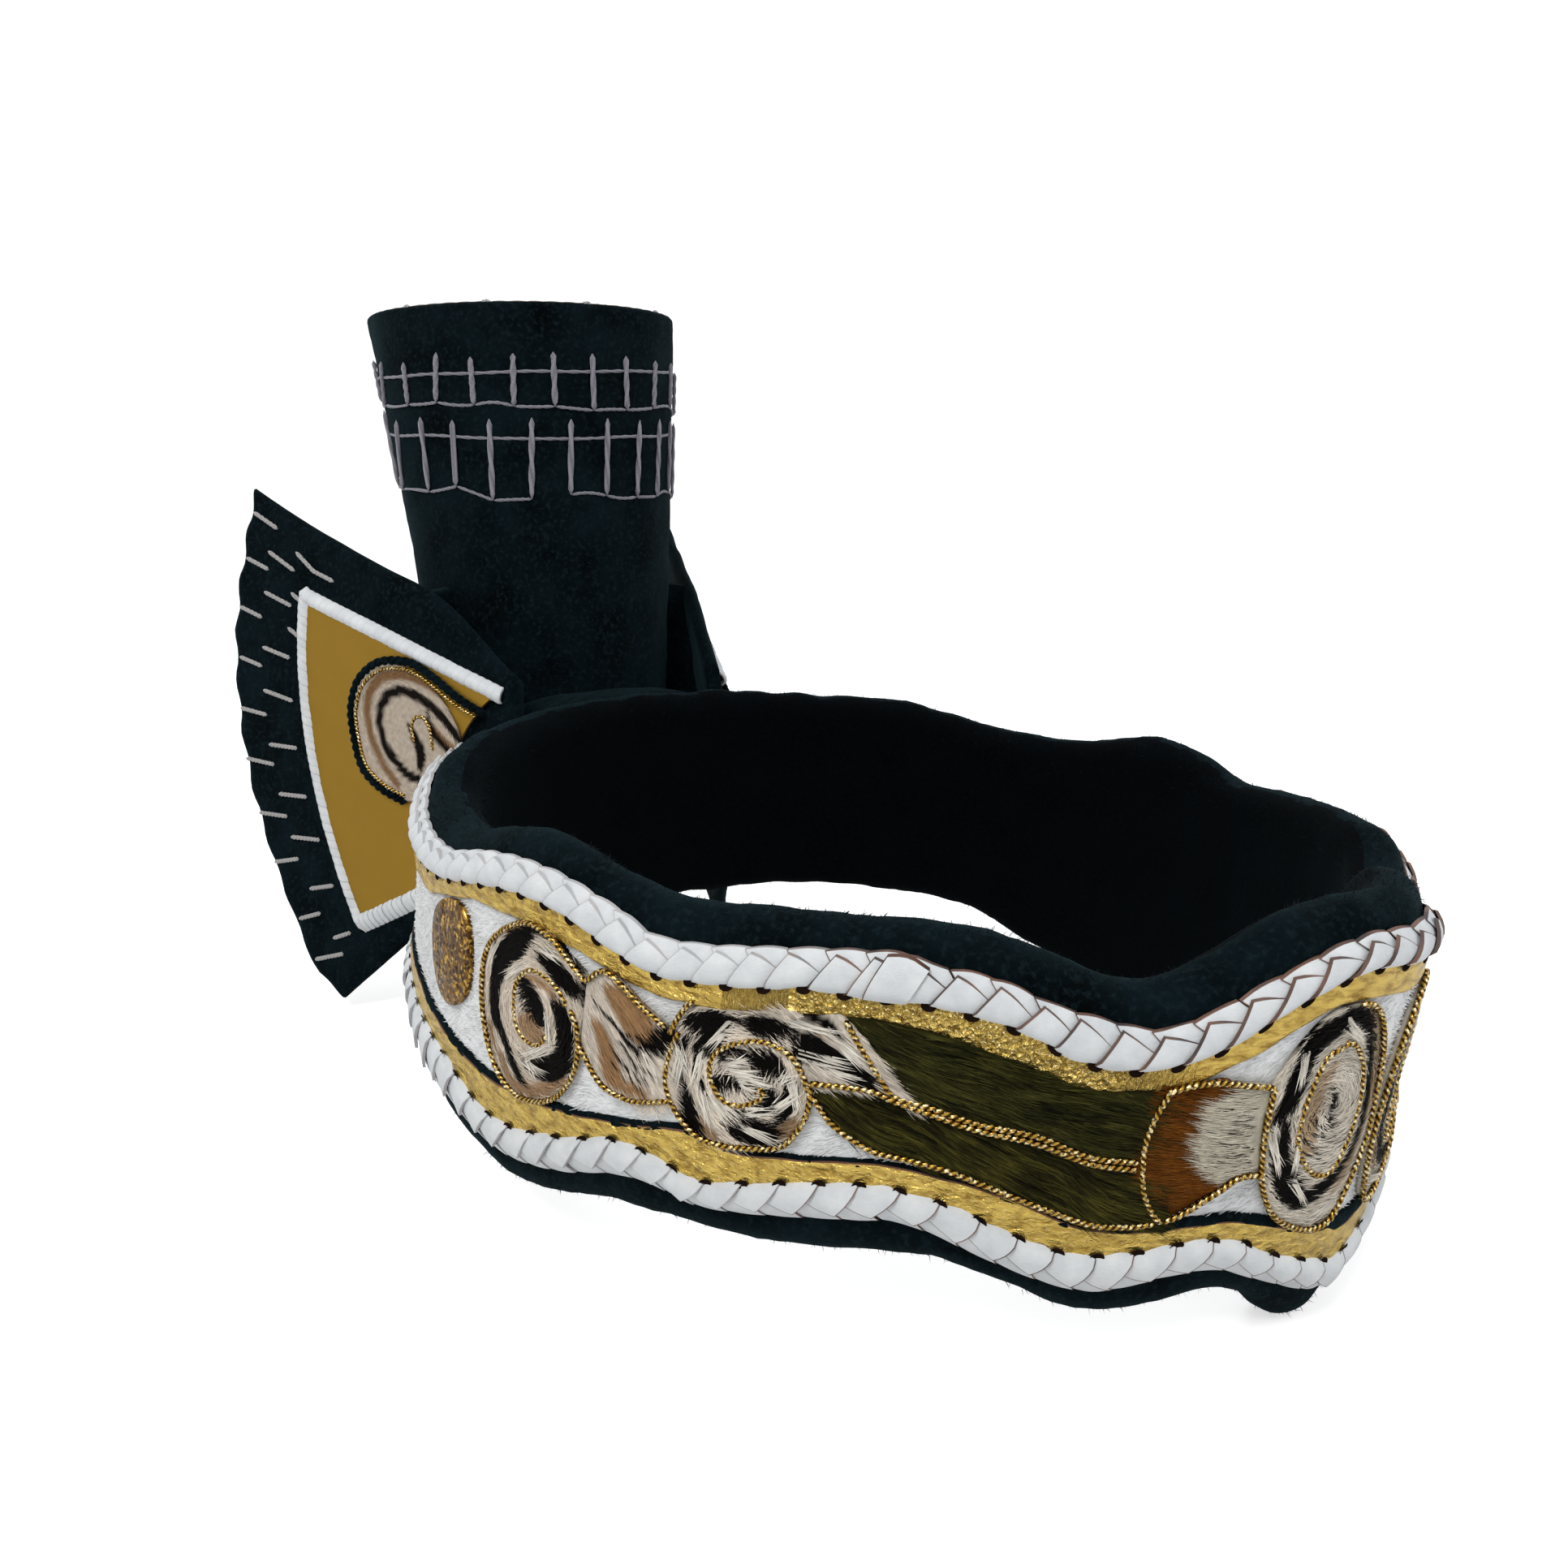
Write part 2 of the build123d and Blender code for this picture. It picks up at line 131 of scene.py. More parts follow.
# The ring: sizes are those of the frame's own head_ring
ring = {"length": 190.0, "width": 162.0, "wall": 11.0, "egg": 0.12, "beak": 0.2, "beakPower": 12, "roll": 5.5,
        "turn": 10.1146, "velvetAbove": 3.8, "velvetBelow": 7.6, "band": 50.0}
# Degrees from the front, the panel's top and bottom edge as shares of the band
edgeRows = np.array((
    (0, 0.79, 0.53), (15, 0.76, 0.33), (30, 0.52, 0.385), (45, 0.62, 0.26), (60, 0.565, 0.365),
    (75, 0.47, 0.45), (90, 0.505, 0.63), (105, 0.34, 0.62), (120, 0.29, 0.53), (135, 0.33, 0.55),
    (150, 0.31, 0.58), (165, 0.31, 0.62), (180, 0.31, 0.64)))
panel = {"end": 160.0, "seat": 0.3, "ground": 1.2, "braidTop": 5.2, "braidBottom": 6.4, "goldTop": 4.6,
         "goldBottom": 4.0}


# Level of the panel's top (sign 1) or bottom (sign -1) edge at some degrees from the front
def panelEdge(deg, sign):
    turn = np.mod(np.abs(deg), 360.0)
    turn = np.where(turn > 180.0, 360.0 - turn, turn)
    column = 1 if sign > 0 else 2
    return sign * ring["band"] * throughRows(edgeRows[:, column], turn / 15.0)


# Plan curve of the ring's outer face: an egg-shaped oval pointed at its front, with its run and outward way
def ringPlan(deg):
    t = np.radians(deg)
    halfX = (ring["width"] + ring["wall"]) / 2
    halfY = (ring["length"] + ring["wall"]) / 2
    ahead = np.maximum(np.cos(t), 0.0)
    narrow = 1 - ring["egg"] * np.cos(t) - ring["beak"] * ahead ** ring["beakPower"]
    widen = (ring["egg"] + ring["beak"] * ring["beakPower"] * ahead ** (ring["beakPower"] - 1)) * np.sin(t)
    x = halfX * np.sin(t) * narrow
    y = -halfY * np.cos(t)
    runX = halfX * (np.cos(t) * narrow + np.sin(t) * widen)
    runY = halfY * np.sin(t)
    length = np.hypot(runX, runY)
    run = np.stack([runX / length, runY / length, np.zeros_like(length)], -1)
    away = np.stack([runY / length, -runX / length, np.zeros_like(length)], -1)
    middle = np.stack([x, y, np.zeros_like(x)], -1)
    return middle + away * ring["wall"] / 2, run, away


# The front is pressed in a little on the wearer's left, most at its top, as the photo shows it
frontTuck = {"deep": 4.8, "end": 46.0, "foot": -5.0, "rise": 20.0, "least": 0.15}


def tuckAt(deg, level):
    share = np.clip(deg / frontTuck["end"], 0, 1)
    high = np.clip((level - frontTuck["foot"]) / frontTuck["rise"], 0, 1)
    least = frontTuck["least"]
    return frontTuck["deep"] * np.sin(np.pi * share) ** 2 * (least + (1 - least) * high)


# Point at some degrees, out from the ring's outer face, at a level
def ringPoint(deg, out, level):
    deg, out, level = np.broadcast_arrays(np.asarray(deg, float), out, level)
    face, run, away = ringPlan(deg)
    point = face + away * (out - tuckAt(deg, level))[..., None]
    point[..., 2] = level
    return point


# Turned forward as it rests, moved to the frame's origin and made metres
def settle(points):
    turn = math.radians(ring["turn"])
    x, y, z = points[..., 0], points[..., 1], points[..., 2]
    c, s = math.cos(turn), math.sin(turn)
    return np.stack([x, y * c - z * s, y * s + z * c], -1) * mm + ringShift


# Skin of the padded ring, by degrees and place round its section: top roll, inner wall, foot roll, outer wall
def ringSkin(deg, wallRows, rollRows):
    roll = np.linspace(0, np.pi, rollRows)
    wall = np.linspace(0, 1, wallRows + 2)[1:-1]
    top = (panelEdge(deg, 1) + ring["velvetAbove"] - ring["roll"])[:, None]
    foot = (panelEdge(deg, -1) - ring["velvetBelow"] + ring["roll"])[:, None]
    half = ring["wall"] / 2
    out = np.concatenate([half * (np.cos(roll) - 1), np.full(wallRows, -2 * half),
                          -half * (np.cos(roll) + 1), np.zeros(wallRows)])
    level = np.concatenate([top + ring["roll"] * np.sin(roll), top + (foot - top) * wall,
                            foot - ring["roll"] * np.sin(roll), foot + (top - foot) * wall], 1)
    return ringPoint(deg[:, None], out[None], level)


ringShift = np.zeros(3)
ringLow = settle(ringSkin(np.arange(0, 360, 5.0), 0, 5)).reshape(-1, 3).min(0)
ringShift = np.array(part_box("head_ring")[0]) - ringLow
ringShift[0] = 0.0

# Running length round the outer face, from the front, and back again
tableDeg = np.linspace(-180, 180, 2881)
tableRun = runLength(ringPoint(tableDeg, 2.0, 0.0))
tableRun -= tableRun[len(tableDeg) // 2]


def runAt(deg):
    return np.interp(deg, tableDeg, tableRun)


def degAt(run):
    return np.interp(run, tableRun, tableDeg)


# The photo's camera in the ring's frame, found by fitting the ring and the tube to the photo
photoCamera = {"azimuth": -41.05, "elevation": 18.11, "roll": 6.92, "distance": 290.83, "right": -27.38,
               "up": 2.37, "focal": 1704.6, "middle": 966.0, "ringLevel": 25.0, "sensor": 36.0}


def cameraAxes():
    a, e, r = (math.radians(photoCamera[key]) for key in ("azimuth", "elevation", "roll"))
    back = np.array([math.sin(a) * math.cos(e), -math.cos(a) * math.cos(e), math.sin(e)])
    level = np.array([math.cos(a), math.sin(a), 0.0])
    rise = np.cross(back, level)
    right = level * math.cos(r) + rise * math.sin(r)
    up = -level * math.sin(r) + rise * math.cos(r)
    eye = right * photoCamera["right"] + up * photoCamera["up"] + back * photoCamera["distance"]
    return right, up, back, eye + np.array([0, 0, photoCamera["ringLevel"]])


def sightLines(pixels):
    right, up, back, eye = cameraAxes()
    offset = (np.array(pixels, float) - photoCamera["middle"]) / photoCamera["focal"]
    return eye, offset[:, :1] * right - offset[:, 1:] * up - back


# Where sight lines through photo pixels first meet the near side of the panel: (degrees, level)
def photoToPanel(pixels, out=2.4):
    eye, way = sightLines(pixels)
    deg = np.linspace(-125, 25, 1501)
    plan = ringPoint(deg, out, 0.0)[:, :2] - eye[:2]
    flat = way[:, :2]
    side = plan[None, :, 0] * flat[:, 1:2] - plan[None, :, 1] * flat[:, 0:1]
    reach = (plan @ flat.T).T / (flat ** 2).sum(1)[:, None]
    meets = side[:, :-1] * side[:, 1:] <= 0
    first = np.argmin(np.where(meets, reach[:, :-1], np.inf), axis=1)
    rows = np.arange(len(first))
    s0, s1 = side[rows, first], side[rows, first + 1]
    share = s0 / (s0 - s1)
    far = reach[rows, first] * (1 - share) + reach[rows, first + 1] * share
    spot = deg[first] * (1 - share) + deg[first + 1] * share
    return np.stack([-spot, eye[2] + far * way[:, 2]], -1)


# Where points in the ring's frame show in the photo
def worldToPhoto(points):
    right, up, back, eye = cameraAxes()
    way = points - eye
    scale = photoCamera["focal"] / -(way @ back)
    middle = photoCamera["middle"]
    return np.stack([middle + way @ right * scale, middle - way @ up * scale], -1)


# Border edges on the near side, read off the photo: how far out they lie, then points in its pixels
borderLines = {
    "topOuter": (1.5, ((550, 1049), (600, 1051), (650, 1065), (690, 1083), (725, 1104), (765, 1130),
        (800, 1155), (850, 1166), (900, 1170), (975, 1172), (1050, 1175), (1115, 1180), (1150, 1194),
        (1200, 1204), (1250, 1220), (1300, 1243), (1350, 1258), (1400, 1271), (1425, 1275), (1450, 1272),
        (1500, 1253), (1550, 1226), (1600, 1200), (1650, 1174), (1700, 1154), (1735, 1148))),
    "topInner": (2.9, ((545, 1082), (600, 1091), (650, 1106), (700, 1133), (745, 1166), (800, 1199),
        (850, 1210), (935, 1218), (985, 1218), (1040, 1226), (1130, 1237), (1200, 1253), (1240, 1265),
        (1285, 1284), (1320, 1305), (1355, 1315), (1400, 1321), (1455, 1315), (1520, 1290), (1580, 1253),
        (1640, 1220), (1690, 1197), (1735, 1190))),
    "goldLow": (2.3, ((530, 1101), (575, 1108), (625, 1128), (675, 1153), (725, 1181), (775, 1212),
        (825, 1233), (900, 1246), (1000, 1251), (1050, 1254), (1100, 1262), (1150, 1275), (1200, 1291),
        (1250, 1309), (1300, 1332), (1335, 1342), (1375, 1346), (1425, 1346), (1475, 1336), (1550, 1302),
        (1600, 1270), (1650, 1243), (1700, 1230), (1730, 1225))),
    "goldHigh": (2.3, ((520, 1200), (530, 1230), (545, 1260), (575, 1304), (625, 1342), (675, 1364),
        (750, 1382), (825, 1390), (850, 1396), (900, 1419), (950, 1427), (1050, 1433), (1100, 1438),
        (1150, 1450), (1200, 1463), (1250, 1480), (1300, 1502), (1350, 1517), (1400, 1520), (1475, 1510),
        (1525, 1506), (1575, 1512), (1610, 1518), (1640, 1512))),
    "lowInner": (2.9, ((525, 1270), (540, 1295), (575, 1349), (600, 1376), (640, 1396), (700, 1406),
        (750, 1407), (800, 1427), (850, 1456), (880, 1461), (970, 1462), (1060, 1464), (1105, 1471),
        (1150, 1484), (1185, 1497), (1230, 1519), (1275, 1537), (1310, 1548), (1350, 1553), (1400, 1548),
        (1435, 1542), (1475, 1534), (1530, 1534), (1560, 1547), (1600, 1555), (1630, 1556))),
    "lowOuter": (1.5, ((515, 1300), (530, 1330), (550, 1355), (575, 1385), (612, 1419), (650, 1436),
        (700, 1446), (750, 1448), (800, 1461), (850, 1486), (900, 1496), (975, 1502), (1050, 1506),
        (1100, 1508), (1150, 1524), (1200, 1548), (1275, 1579), (1335, 1594), (1375, 1592), (1425, 1580),
        (1475, 1570), (1510, 1568), (1550, 1579), (1600, 1590), (1630, 1591))),
}


# Level that a border edge would have without its measured shift
def plainLevel(name, deg):
    sign = 1.0 if name in ("topOuter", "topInner", "goldLow") else -1.0
    braid, gold = (panel[key + ("Top" if sign > 0 else "Bottom")] for key in ("braid", "gold"))
    inset = braid * ("Outer" not in name) + (gold + 0.3) * ("gold" in name)
    return panelEdge(deg, sign) - sign * inset


# How far each border edge lies from its plain level, by degrees from the front
borderFit = {"first": 0.5, "last": 112, "most": 3.2, "fade": 15}


def measureBorders():
    shifts = {}
    for name, (out, pixels) in borderLines.items():
        spot = photoToPanel(smoothLine(pixels, 8 * len(pixels)), out)
        spot = spot[(spot[:, 0] > borderFit["first"]) & (spot[:, 0] < borderFit["last"])]
        deg, level = spot[np.argsort(spot[:, 0])].T
        shifts[name] = deg, np.clip(level - plainLevel(name, deg), -borderFit["most"], borderFit["most"])
    return shifts


borderShift = measureBorders()


# The shift fades away past the last degrees that the photo shows
def borderLevel(name, deg):
    far, shift = borderShift[name]
    turn = np.abs(deg)
    fade = borderFit["fade"]
    return plainLevel(name, deg) + np.interp(turn, far, shift) * np.clip((far[-1] + fade - turn) / fade, 0, 1)


# Faces of a grid of points, as fours
def gridFaces(rows, columns, flip=False):
    n = np.arange(rows * columns).reshape(rows, columns)
    fours = np.stack([n[:-1, :-1], n[1:, :-1], n[1:, 1:], n[:-1, 1:]], -1).reshape(-1, 4)
    return fours[:, ::-1] if flip else fours


# Colour from a hex word, as linear values
def colour(word):
    values = np.array([int(word[k:k + 2], 16) / 255 for k in (1, 3, 5)])
    return np.where(values <= 0.04045, values / 12.92, ((values + 0.055) / 1.055) ** 2.4)


def shade(word):
    return (*colour(word), 1.0)


# A mesh piece: points in metres, lists of faces, values and tints per point; closed shells are welded
def addPiece(name, points, faces, material, slot, nodes=(), tint=None, values=None, weld=True, sharp=None):
    points = np.ascontiguousarray(points, float).reshape(-1, 3)
    faces = faces if isinstance(faces, list) else [faces]
    mesh = bpy.data.meshes.new(name)
    mesh.from_pydata(points.tolist(), [], sum((part.tolist() for part in faces), []))
    if tint is not None:
        tones = np.concatenate([np.reshape(tint, (-1, 3)), np.ones((len(points), 1))], 1).astype(np.float32)
        mesh.attributes.new("tint", "FLOAT_COLOR", "POINT").data.foreach_set("color", tones.ravel())
    for key, value in (values or {}).items():
        spread = np.ascontiguousarray(np.reshape(value, -1), np.float32)
        mesh.attributes.new(key, "FLOAT", "POINT").data.foreach_set("value", spread)
    if weld:
        work = bmesh.new()
        work.from_mesh(mesh)
        bmesh.ops.remove_doubles(work, verts=work.verts, dist=1e-6)
        bmesh.ops.dissolve_degenerate(work, dist=1e-7, edges=work.edges)
        bmesh.ops.recalc_face_normals(work, faces=work.faces)
        work.to_mesh(mesh)
        work.free()
    mesh.polygons.foreach_set("use_smooth", np.ones(len(mesh.polygons), bool))
    if sharp is not None:
        mesh.set_sharp_from_angle(angle=math.radians(sharp))
    mesh.materials.append(material)
    mesh.update()
    piece = bpy.data.objects.new(name, mesh)
    bpy.context.scene.collection.objects.link(piece)
    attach(piece, "root")
    if nodes:
        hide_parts(*nodes)
    return piece


# Sets or links inputs of a node
def setInputs(tree, made, inputs):
    for key, value in inputs.items():
        if isinstance(value, bpy.types.NodeSocket):
            tree.links.new(value, made.inputs[key])
        else:
            made.inputs[key].default_value = value


def node(tree, kind, inputs=None, **settings):
    made = tree.nodes.new(kind)
    for key, value in settings.items():
        setattr(made, key, value)
    setInputs(tree, made, inputs or {})
    return made


# Colour ramp: its two ends first, then the stops between
def rampNode(tree, factor, stops):
    made = node(tree, "ShaderNodeValToRGB", {0: factor})
    for k, (place, word) in enumerate(stops):
        stop = made.color_ramp.elements[k] if k < 2 else made.color_ramp.elements.new(place)
        stop.position = place
        stop.color = shade(word)
    return made.outputs[0]


# Sums on values, taken from left to right
def reckon(tree, operation, first, *rest):
    for value in rest:
        first = node(tree, "ShaderNodeMath", {0: first, 1: value}, operation=operation).outputs[0]
    return first


def times(tree, *values):
    return reckon(tree, "MULTIPLY", *values)


def plus(tree, *values):
    return reckon(tree, "ADD", *values)


def minus(tree, *values):
    return reckon(tree, "SUBTRACT", *values)


def mixColour(tree, factor, a, b, blend="MIX"):
    made = node(tree, "ShaderNodeMix", {0: factor, 6: a, 7: b}, data_type="RGBA", blend_type=blend)
    return made.outputs[2]


def remap(tree, value, low, high, toLow=0.0, toHigh=1.0):
    inputs = {"Value": value, "From Min": low, "From Max": high, "To Min": toLow, "To Max": toHigh}
    return node(tree, "ShaderNodeMapRange", inputs).outputs[0]


def attribute(tree, name, output="Fac"):
    return node(tree, "ShaderNodeAttribute", attribute_name=name).outputs[output]


def noise(tree, where, scale, detail, **more):
    inputs = {"Vector": where, "Scale": scale, "Detail": detail, **more}
    return node(tree, "ShaderNodeTexNoise", inputs).outputs["Fac"]


def cellNoise(tree, where, scale, **settings):
    return node(tree, "ShaderNodeTexVoronoi", {"Vector": where, "Scale": scale}, **settings).outputs


# Three random values, one set for each cell
def cellPicks(tree, cells):
    return node(tree, "ShaderNodeSeparateColor", {0: cells["Color"]}).outputs


def bump(tree, height, strength, distance=0.0003):
    inputs = {"Height": height, "Strength": strength, "Distance": distance}
    return node(tree, "ShaderNodeBump", inputs).outputs[0]


def startMaterial(name, fixed=None):
    material = bpy.data.materials.new(name)
    material.use_nodes = True
    tree = material.node_tree
    tree.nodes.clear()
    shader = node(tree, "ShaderNodeBsdfPrincipled", fixed)
    node(tree, "ShaderNodeOutputMaterial", {"Surface": shader.outputs[0]})
    where = node(tree, "ShaderNodeTexCoord").outputs["Object"]
    return material, tree, shader, where


def startGroup(name, inputs, output, kind):
    group = bpy.data.node_groups.new(name, "ShaderNodeTree")
    for label, sort, value in (("Vector", "Vector", None), *inputs):
        socket = group.interface.new_socket(label, in_out="INPUT", socket_type="NodeSocket" + sort)
        if value is not None:
            socket.default_value = value
    group.interface.new_socket(output, in_out="OUTPUT", socket_type="NodeSocket" + kind)
    return group, node(group, "NodeGroupInput").outputs, node(group, "NodeGroupOutput")


# Grain: creased noise in two sizes, as a height
def makeGrain():
    group, given, end = startGroup("grain", (
        ("Size", "Float", 900.0), ("Stretch", "Vector", (1.0, 1.0, 1.0)), ("Creases", "Float", 0.5)),
        "Height", "Float")
    place = node(group, "ShaderNodeVectorMath", {0: given["Vector"], 1: given["Stretch"]},
                 operation="MULTIPLY").outputs[0]
    edge = cellNoise(group, place, given["Size"], feature="DISTANCE_TO_EDGE")["Distance"]
    fine = noise(group, place, times(group, given["Size"], 2.2), 4.0, Roughness=0.6)
    creases = times(group, remap(group, edge, 0.0, 0.22), given["Creases"])
    setInputs(group, end, {"Height": plus(group, creases, fine)})
    return group


# Cloudy: slow noise that mixes a dark and a light colour
def makeCloudy():
    group, given, end = startGroup("cloudy", (
        ("Size", "Float", 60.0), ("Dark", "Color", (0, 0, 0, 1)), ("Light", "Color", (1, 1, 1, 1)),
        ("Contrast", "Float", 1.0)), "Color", "Color")
    slow = noise(group, given["Vector"], given["Size"], 5.0, Roughness=0.55)
    centred = times(group, minus(group, slow, 0.5), given["Contrast"])
    mask = node(group, "ShaderNodeClamp", {"Value": plus(group, centred, 0.5)}).outputs[0]
    setInputs(group, end, {"Color": mixColour(group, mask, given["Dark"], given["Light"])})
    return group


grainGroup = makeGrain()
cloudyGroup = makeCloudy()


def cloudTone(tree, where, size, dark, light, contrast):
    inputs = {"Vector": where, "Size": size, "Dark": dark, "Light": light, "Contrast": contrast}
    return node(tree, "ShaderNodeGroup", inputs, node_tree=cloudyGroup).outputs["Color"]


def grainBump(tree, where, size, creases, strength, **more):
    inputs = {"Vector": where, "Size": size, "Creases": creases, **more}
    return bump(tree, node(tree, "ShaderNodeGroup", inputs, node_tree=grainGroup).outputs["Height"], strength)


# Black velvet: cold sheen, brushed patches and a fine pile
def makeVelvet(name, dark, light, pile, sheen):
    material, tree, shader, where = startMaterial(name, {
        "Roughness": 0.95, "Sheen Weight": sheen, "Sheen Roughness": 0.35, "Sheen Tint": (0.22, 0.5, 0.58, 1),
        "Specular IOR Level": 0.04})
    brushed = cloudTone(tree, where, 90.0, shade(dark), shade(light), 2.6)
    speck = remap(tree, noise(tree, where, 900.0, 4.0), 0.5, 0.75)
    setInputs(tree, shader, {"Base Color": mixColour(tree, speck, brushed, shade(pile)),
                             "Normal": grainBump(tree, where, 1500.0, 0.2, 0.6)})
    return material


# White hide under the fur
def makeHide():
    material, tree, shader, where = startMaterial("whiteHide", {"Roughness": 0.75, "Sheen Weight": 0.2})
    setInputs(tree, shader, {
        "Base Color": cloudTone(tree, where, 120.0, shade("#d4d8db"), shade("#f1f3f4"), 1.4),
        "Normal": grainBump(tree, where, 900.0, 0.3, 0.35)})
    return material


# Gilt leather: in millimetres along and across its strip, coarse foil where foil is 1, drawn-out wrinkles
# where it is 0, smooth where smooth is 1, brown leather where raw is 1
def makeGilt(name, dark, light, rough, strength):
    material, tree, shader, where = startMaterial(name)
    along, across, foil, smooth, raw = (
        attribute(tree, key) for key in ("along", "across", "foil", "smooth", "raw"))
    drawn = times(tree, along, plus(tree, times(tree, foil, 0.6), 0.4))
    place = node(tree, "ShaderNodeCombineXYZ", {0: drawn, 1: across, 2: 0.0}).outputs[0]
    wrinkle = noise(tree, place, 0.75, 3.0, Roughness=0.62, Distortion=0.6)
    cells = cellNoise(tree, place, 1.15)
    facet = times(tree, cells["Distance"], foil, 0.7)
    rumpled = minus(tree, 1.0, times(tree, smooth, 0.8))
    fine = times(tree, noise(tree, where, 2600.0, 2.0), 0.13)
    height = plus(tree, times(tree, plus(tree, wrinkle, facet), rumpled), fine)
    # Darker in the hollows of the wrinkles and lighter on their crests: painted shade and light
    tone = mixColour(tree, remap(tree, wrinkle, 0.32, 0.6), shade(dark), shade(light))
    tone = mixColour(tree, times(tree, cellPicks(tree, cells)[0], foil, 0.45), tone, shade("#6e5119"))
    # Painted glints: pale spots of highlight in the colour, most on the foil
    paintedGlint = remap(tree, noise(tree, place, 2.4, 2.0), 0.56, 0.66)
    paintedGlint = times(tree, paintedGlint, plus(tree, times(tree, foil, 0.8), 0.1))
    tone = mixColour(tree, paintedGlint, tone, shade("#fff0b4"))
    setInputs(tree, shader, {"Base Color": mixColour(tree, raw, tone, shade("#5d3a26")),
                             "Metallic": times(tree, minus(tree, 1.0, raw), 0.8),
                             "Roughness": plus(tree, times(tree, raw, 0.4), rough),
                             "Normal": bump(tree, height, strength, 0.0012)})
    return material


# White lace leather: faint streaks, brown at its raw edges
def makeLace():
    material, tree, shader, where = startMaterial("laceLeather", {
        "Roughness": 0.5, "Specular IOR Level": 0.3})
    tone = cloudTone(tree, where, 260.0, shade("#bfc4c9"), shade("#dcdfe1"), 1.6)
    worn = remap(tree, noise(tree, where, 160.0, 2.0), 0.35, 0.6)
    edge = mixColour(tree, worn, shade("#2c170e"), shade("#6b4735"))
    setInputs(tree, shader, {"Base Color": mixColour(tree, attribute(tree, "raw"), tone, edge),
                             "Normal": grainBump(tree, where, 700.0, 0.25, 0.25, Stretch=(1.0, 1.0, 2.4))})
    return material


# Hair and the skin under it take their colour from the tint of each point
def makeFur(name, rough, darker):
    material, tree, shader, where = startMaterial(name, {"Roughness": rough, "Specular IOR Level": 0.05})
    dim = remap(tree, noise(tree, where, 900.0, 2.0), 0.0, 1.0, darker, 1.1)
    tint = attribute(tree, "tint", "Color")
    setInputs(tree, shader, {"Base Color": mixColour(tree, 1.0, tint, dim, "MULTIPLY")})
    return material


# Gold twisted cord: painted shade between the strands, lighter crests and painted glints on them
def makeGoldCord():
    material, tree, shader, where = startMaterial("goldCord", {"Metallic": 1.0})
    lobe = attribute(tree, "lobe")
    fleck = cellPicks(tree, cellNoise(tree, where, 2600.0))[0]
    # Dark in the grooves and bright on the crests of the strands: painted shade and light
    base = rampNode(tree, lobe, ((0.18, "#140c03"), (1.0, "#c39c4a"), (0.52, "#503a12"), (0.78, "#8f6c28")))
    # Painted glints: pale spots on the crests of the strands
    paintedGlint = times(tree, remap(tree, fleck, 0.72, 0.85), lobe)
    setInputs(tree, shader, {"Base Color": mixColour(tree, paintedGlint, base, shade("#fff0bd")),
                             "Roughness": remap(tree, fleck, 0.0, 1.0, 0.15, 0.4),
                             "Normal": bump(tree, fleck, 0.5, 0.0002)})
    return material


# Glitter: flakes of gold, copper and brown, each tipped its own way
def makeGlitter():
    material, tree, shader, where = startMaterial("glitter", {"Metallic": 0.85})
    pick = cellPicks(tree, cellNoise(tree, where, 1500.0))
    cloud = noise(tree, where, 240.0, 3.0)
    mixed = plus(tree, times(tree, pick[0], 0.6), times(tree, cloud, 0.5))
    setInputs(tree, shader, {
        "Base Color": rampNode(tree, mixed, ((0.25, "#301d07"), (0.9, "#dbb355"), (0.48, "#5c3c11"),
                                             (0.7, "#86611f"))),
        "Roughness": remap(tree, pick[1], 0.0, 1.0, 0.2, 0.6), "Normal": bump(tree, pick[2], 0.9, 0.0005)})
    return material


# Yarn: spun wool, mottled at random and darker in the grooves between its strands: painted shade
def makeYarn(name, dark, light):
    material, tree, shader, where = startMaterial(name, {"Roughness": 0.9, "Sheen Weight": 0.3})
    fuzz = noise(tree, where, 2200.0, 3.0)
    blend = times(tree, plus(tree, attribute(tree, "lobe"), fuzz), 0.6)
    setInputs(tree, shader, {"Base Color": mixColour(tree, blend, shade(dark), shade(light)),
                             "Normal": bump(tree, fuzz, 0.6)})
    return material


# Punched holes: a dark material that paints the shade inside them
def makeHoleShade():
    material, tree, shader, where = startMaterial("holeShade", {"Roughness": 1.0, "Specular IOR Level": 0.05})
    tone = cloudTone(tree, where, 400.0, shade("#070504"), shade("#241710"), 1.5)
    setInputs(tree, shader, {"Base Color": tone})
    return material


velvet = makeVelvet("velvet", "#010405", "#0a161b", "#131f24", 0.075)
# A darker copy of the velvet for the ring's inner wall: painted shade
innerShadeVelvet = makeVelvet("innerShadeVelvet", "#010203", "#020508", "#03080b", 0.02)
hide = makeHide()
giltBorder = makeGilt("giltBorder", "#94742c", "#d8b95e", 0.27, 1.0)
giltFan = makeGilt("giltFan", "#765819", "#a9862d", 0.5, 0.3)
lace = makeLace()
hair = makeFur("hair", 0.5, 0.75)
furSkin = makeFur("furSkin", 0.85, 0.55)
goldCord = makeGoldCord()
glitter = makeGlitter()
lilacYarn = makeYarn("lilacYarn", "#35343b", "#8b8994")
beigeYarn = makeYarn("beigeYarn", "#5d5c5c", "#adabaa")
rimYarn = makeYarn("rimYarn", "#2a211b", "#75614e")
holeShade = makeHoleShade()
print("materials made")


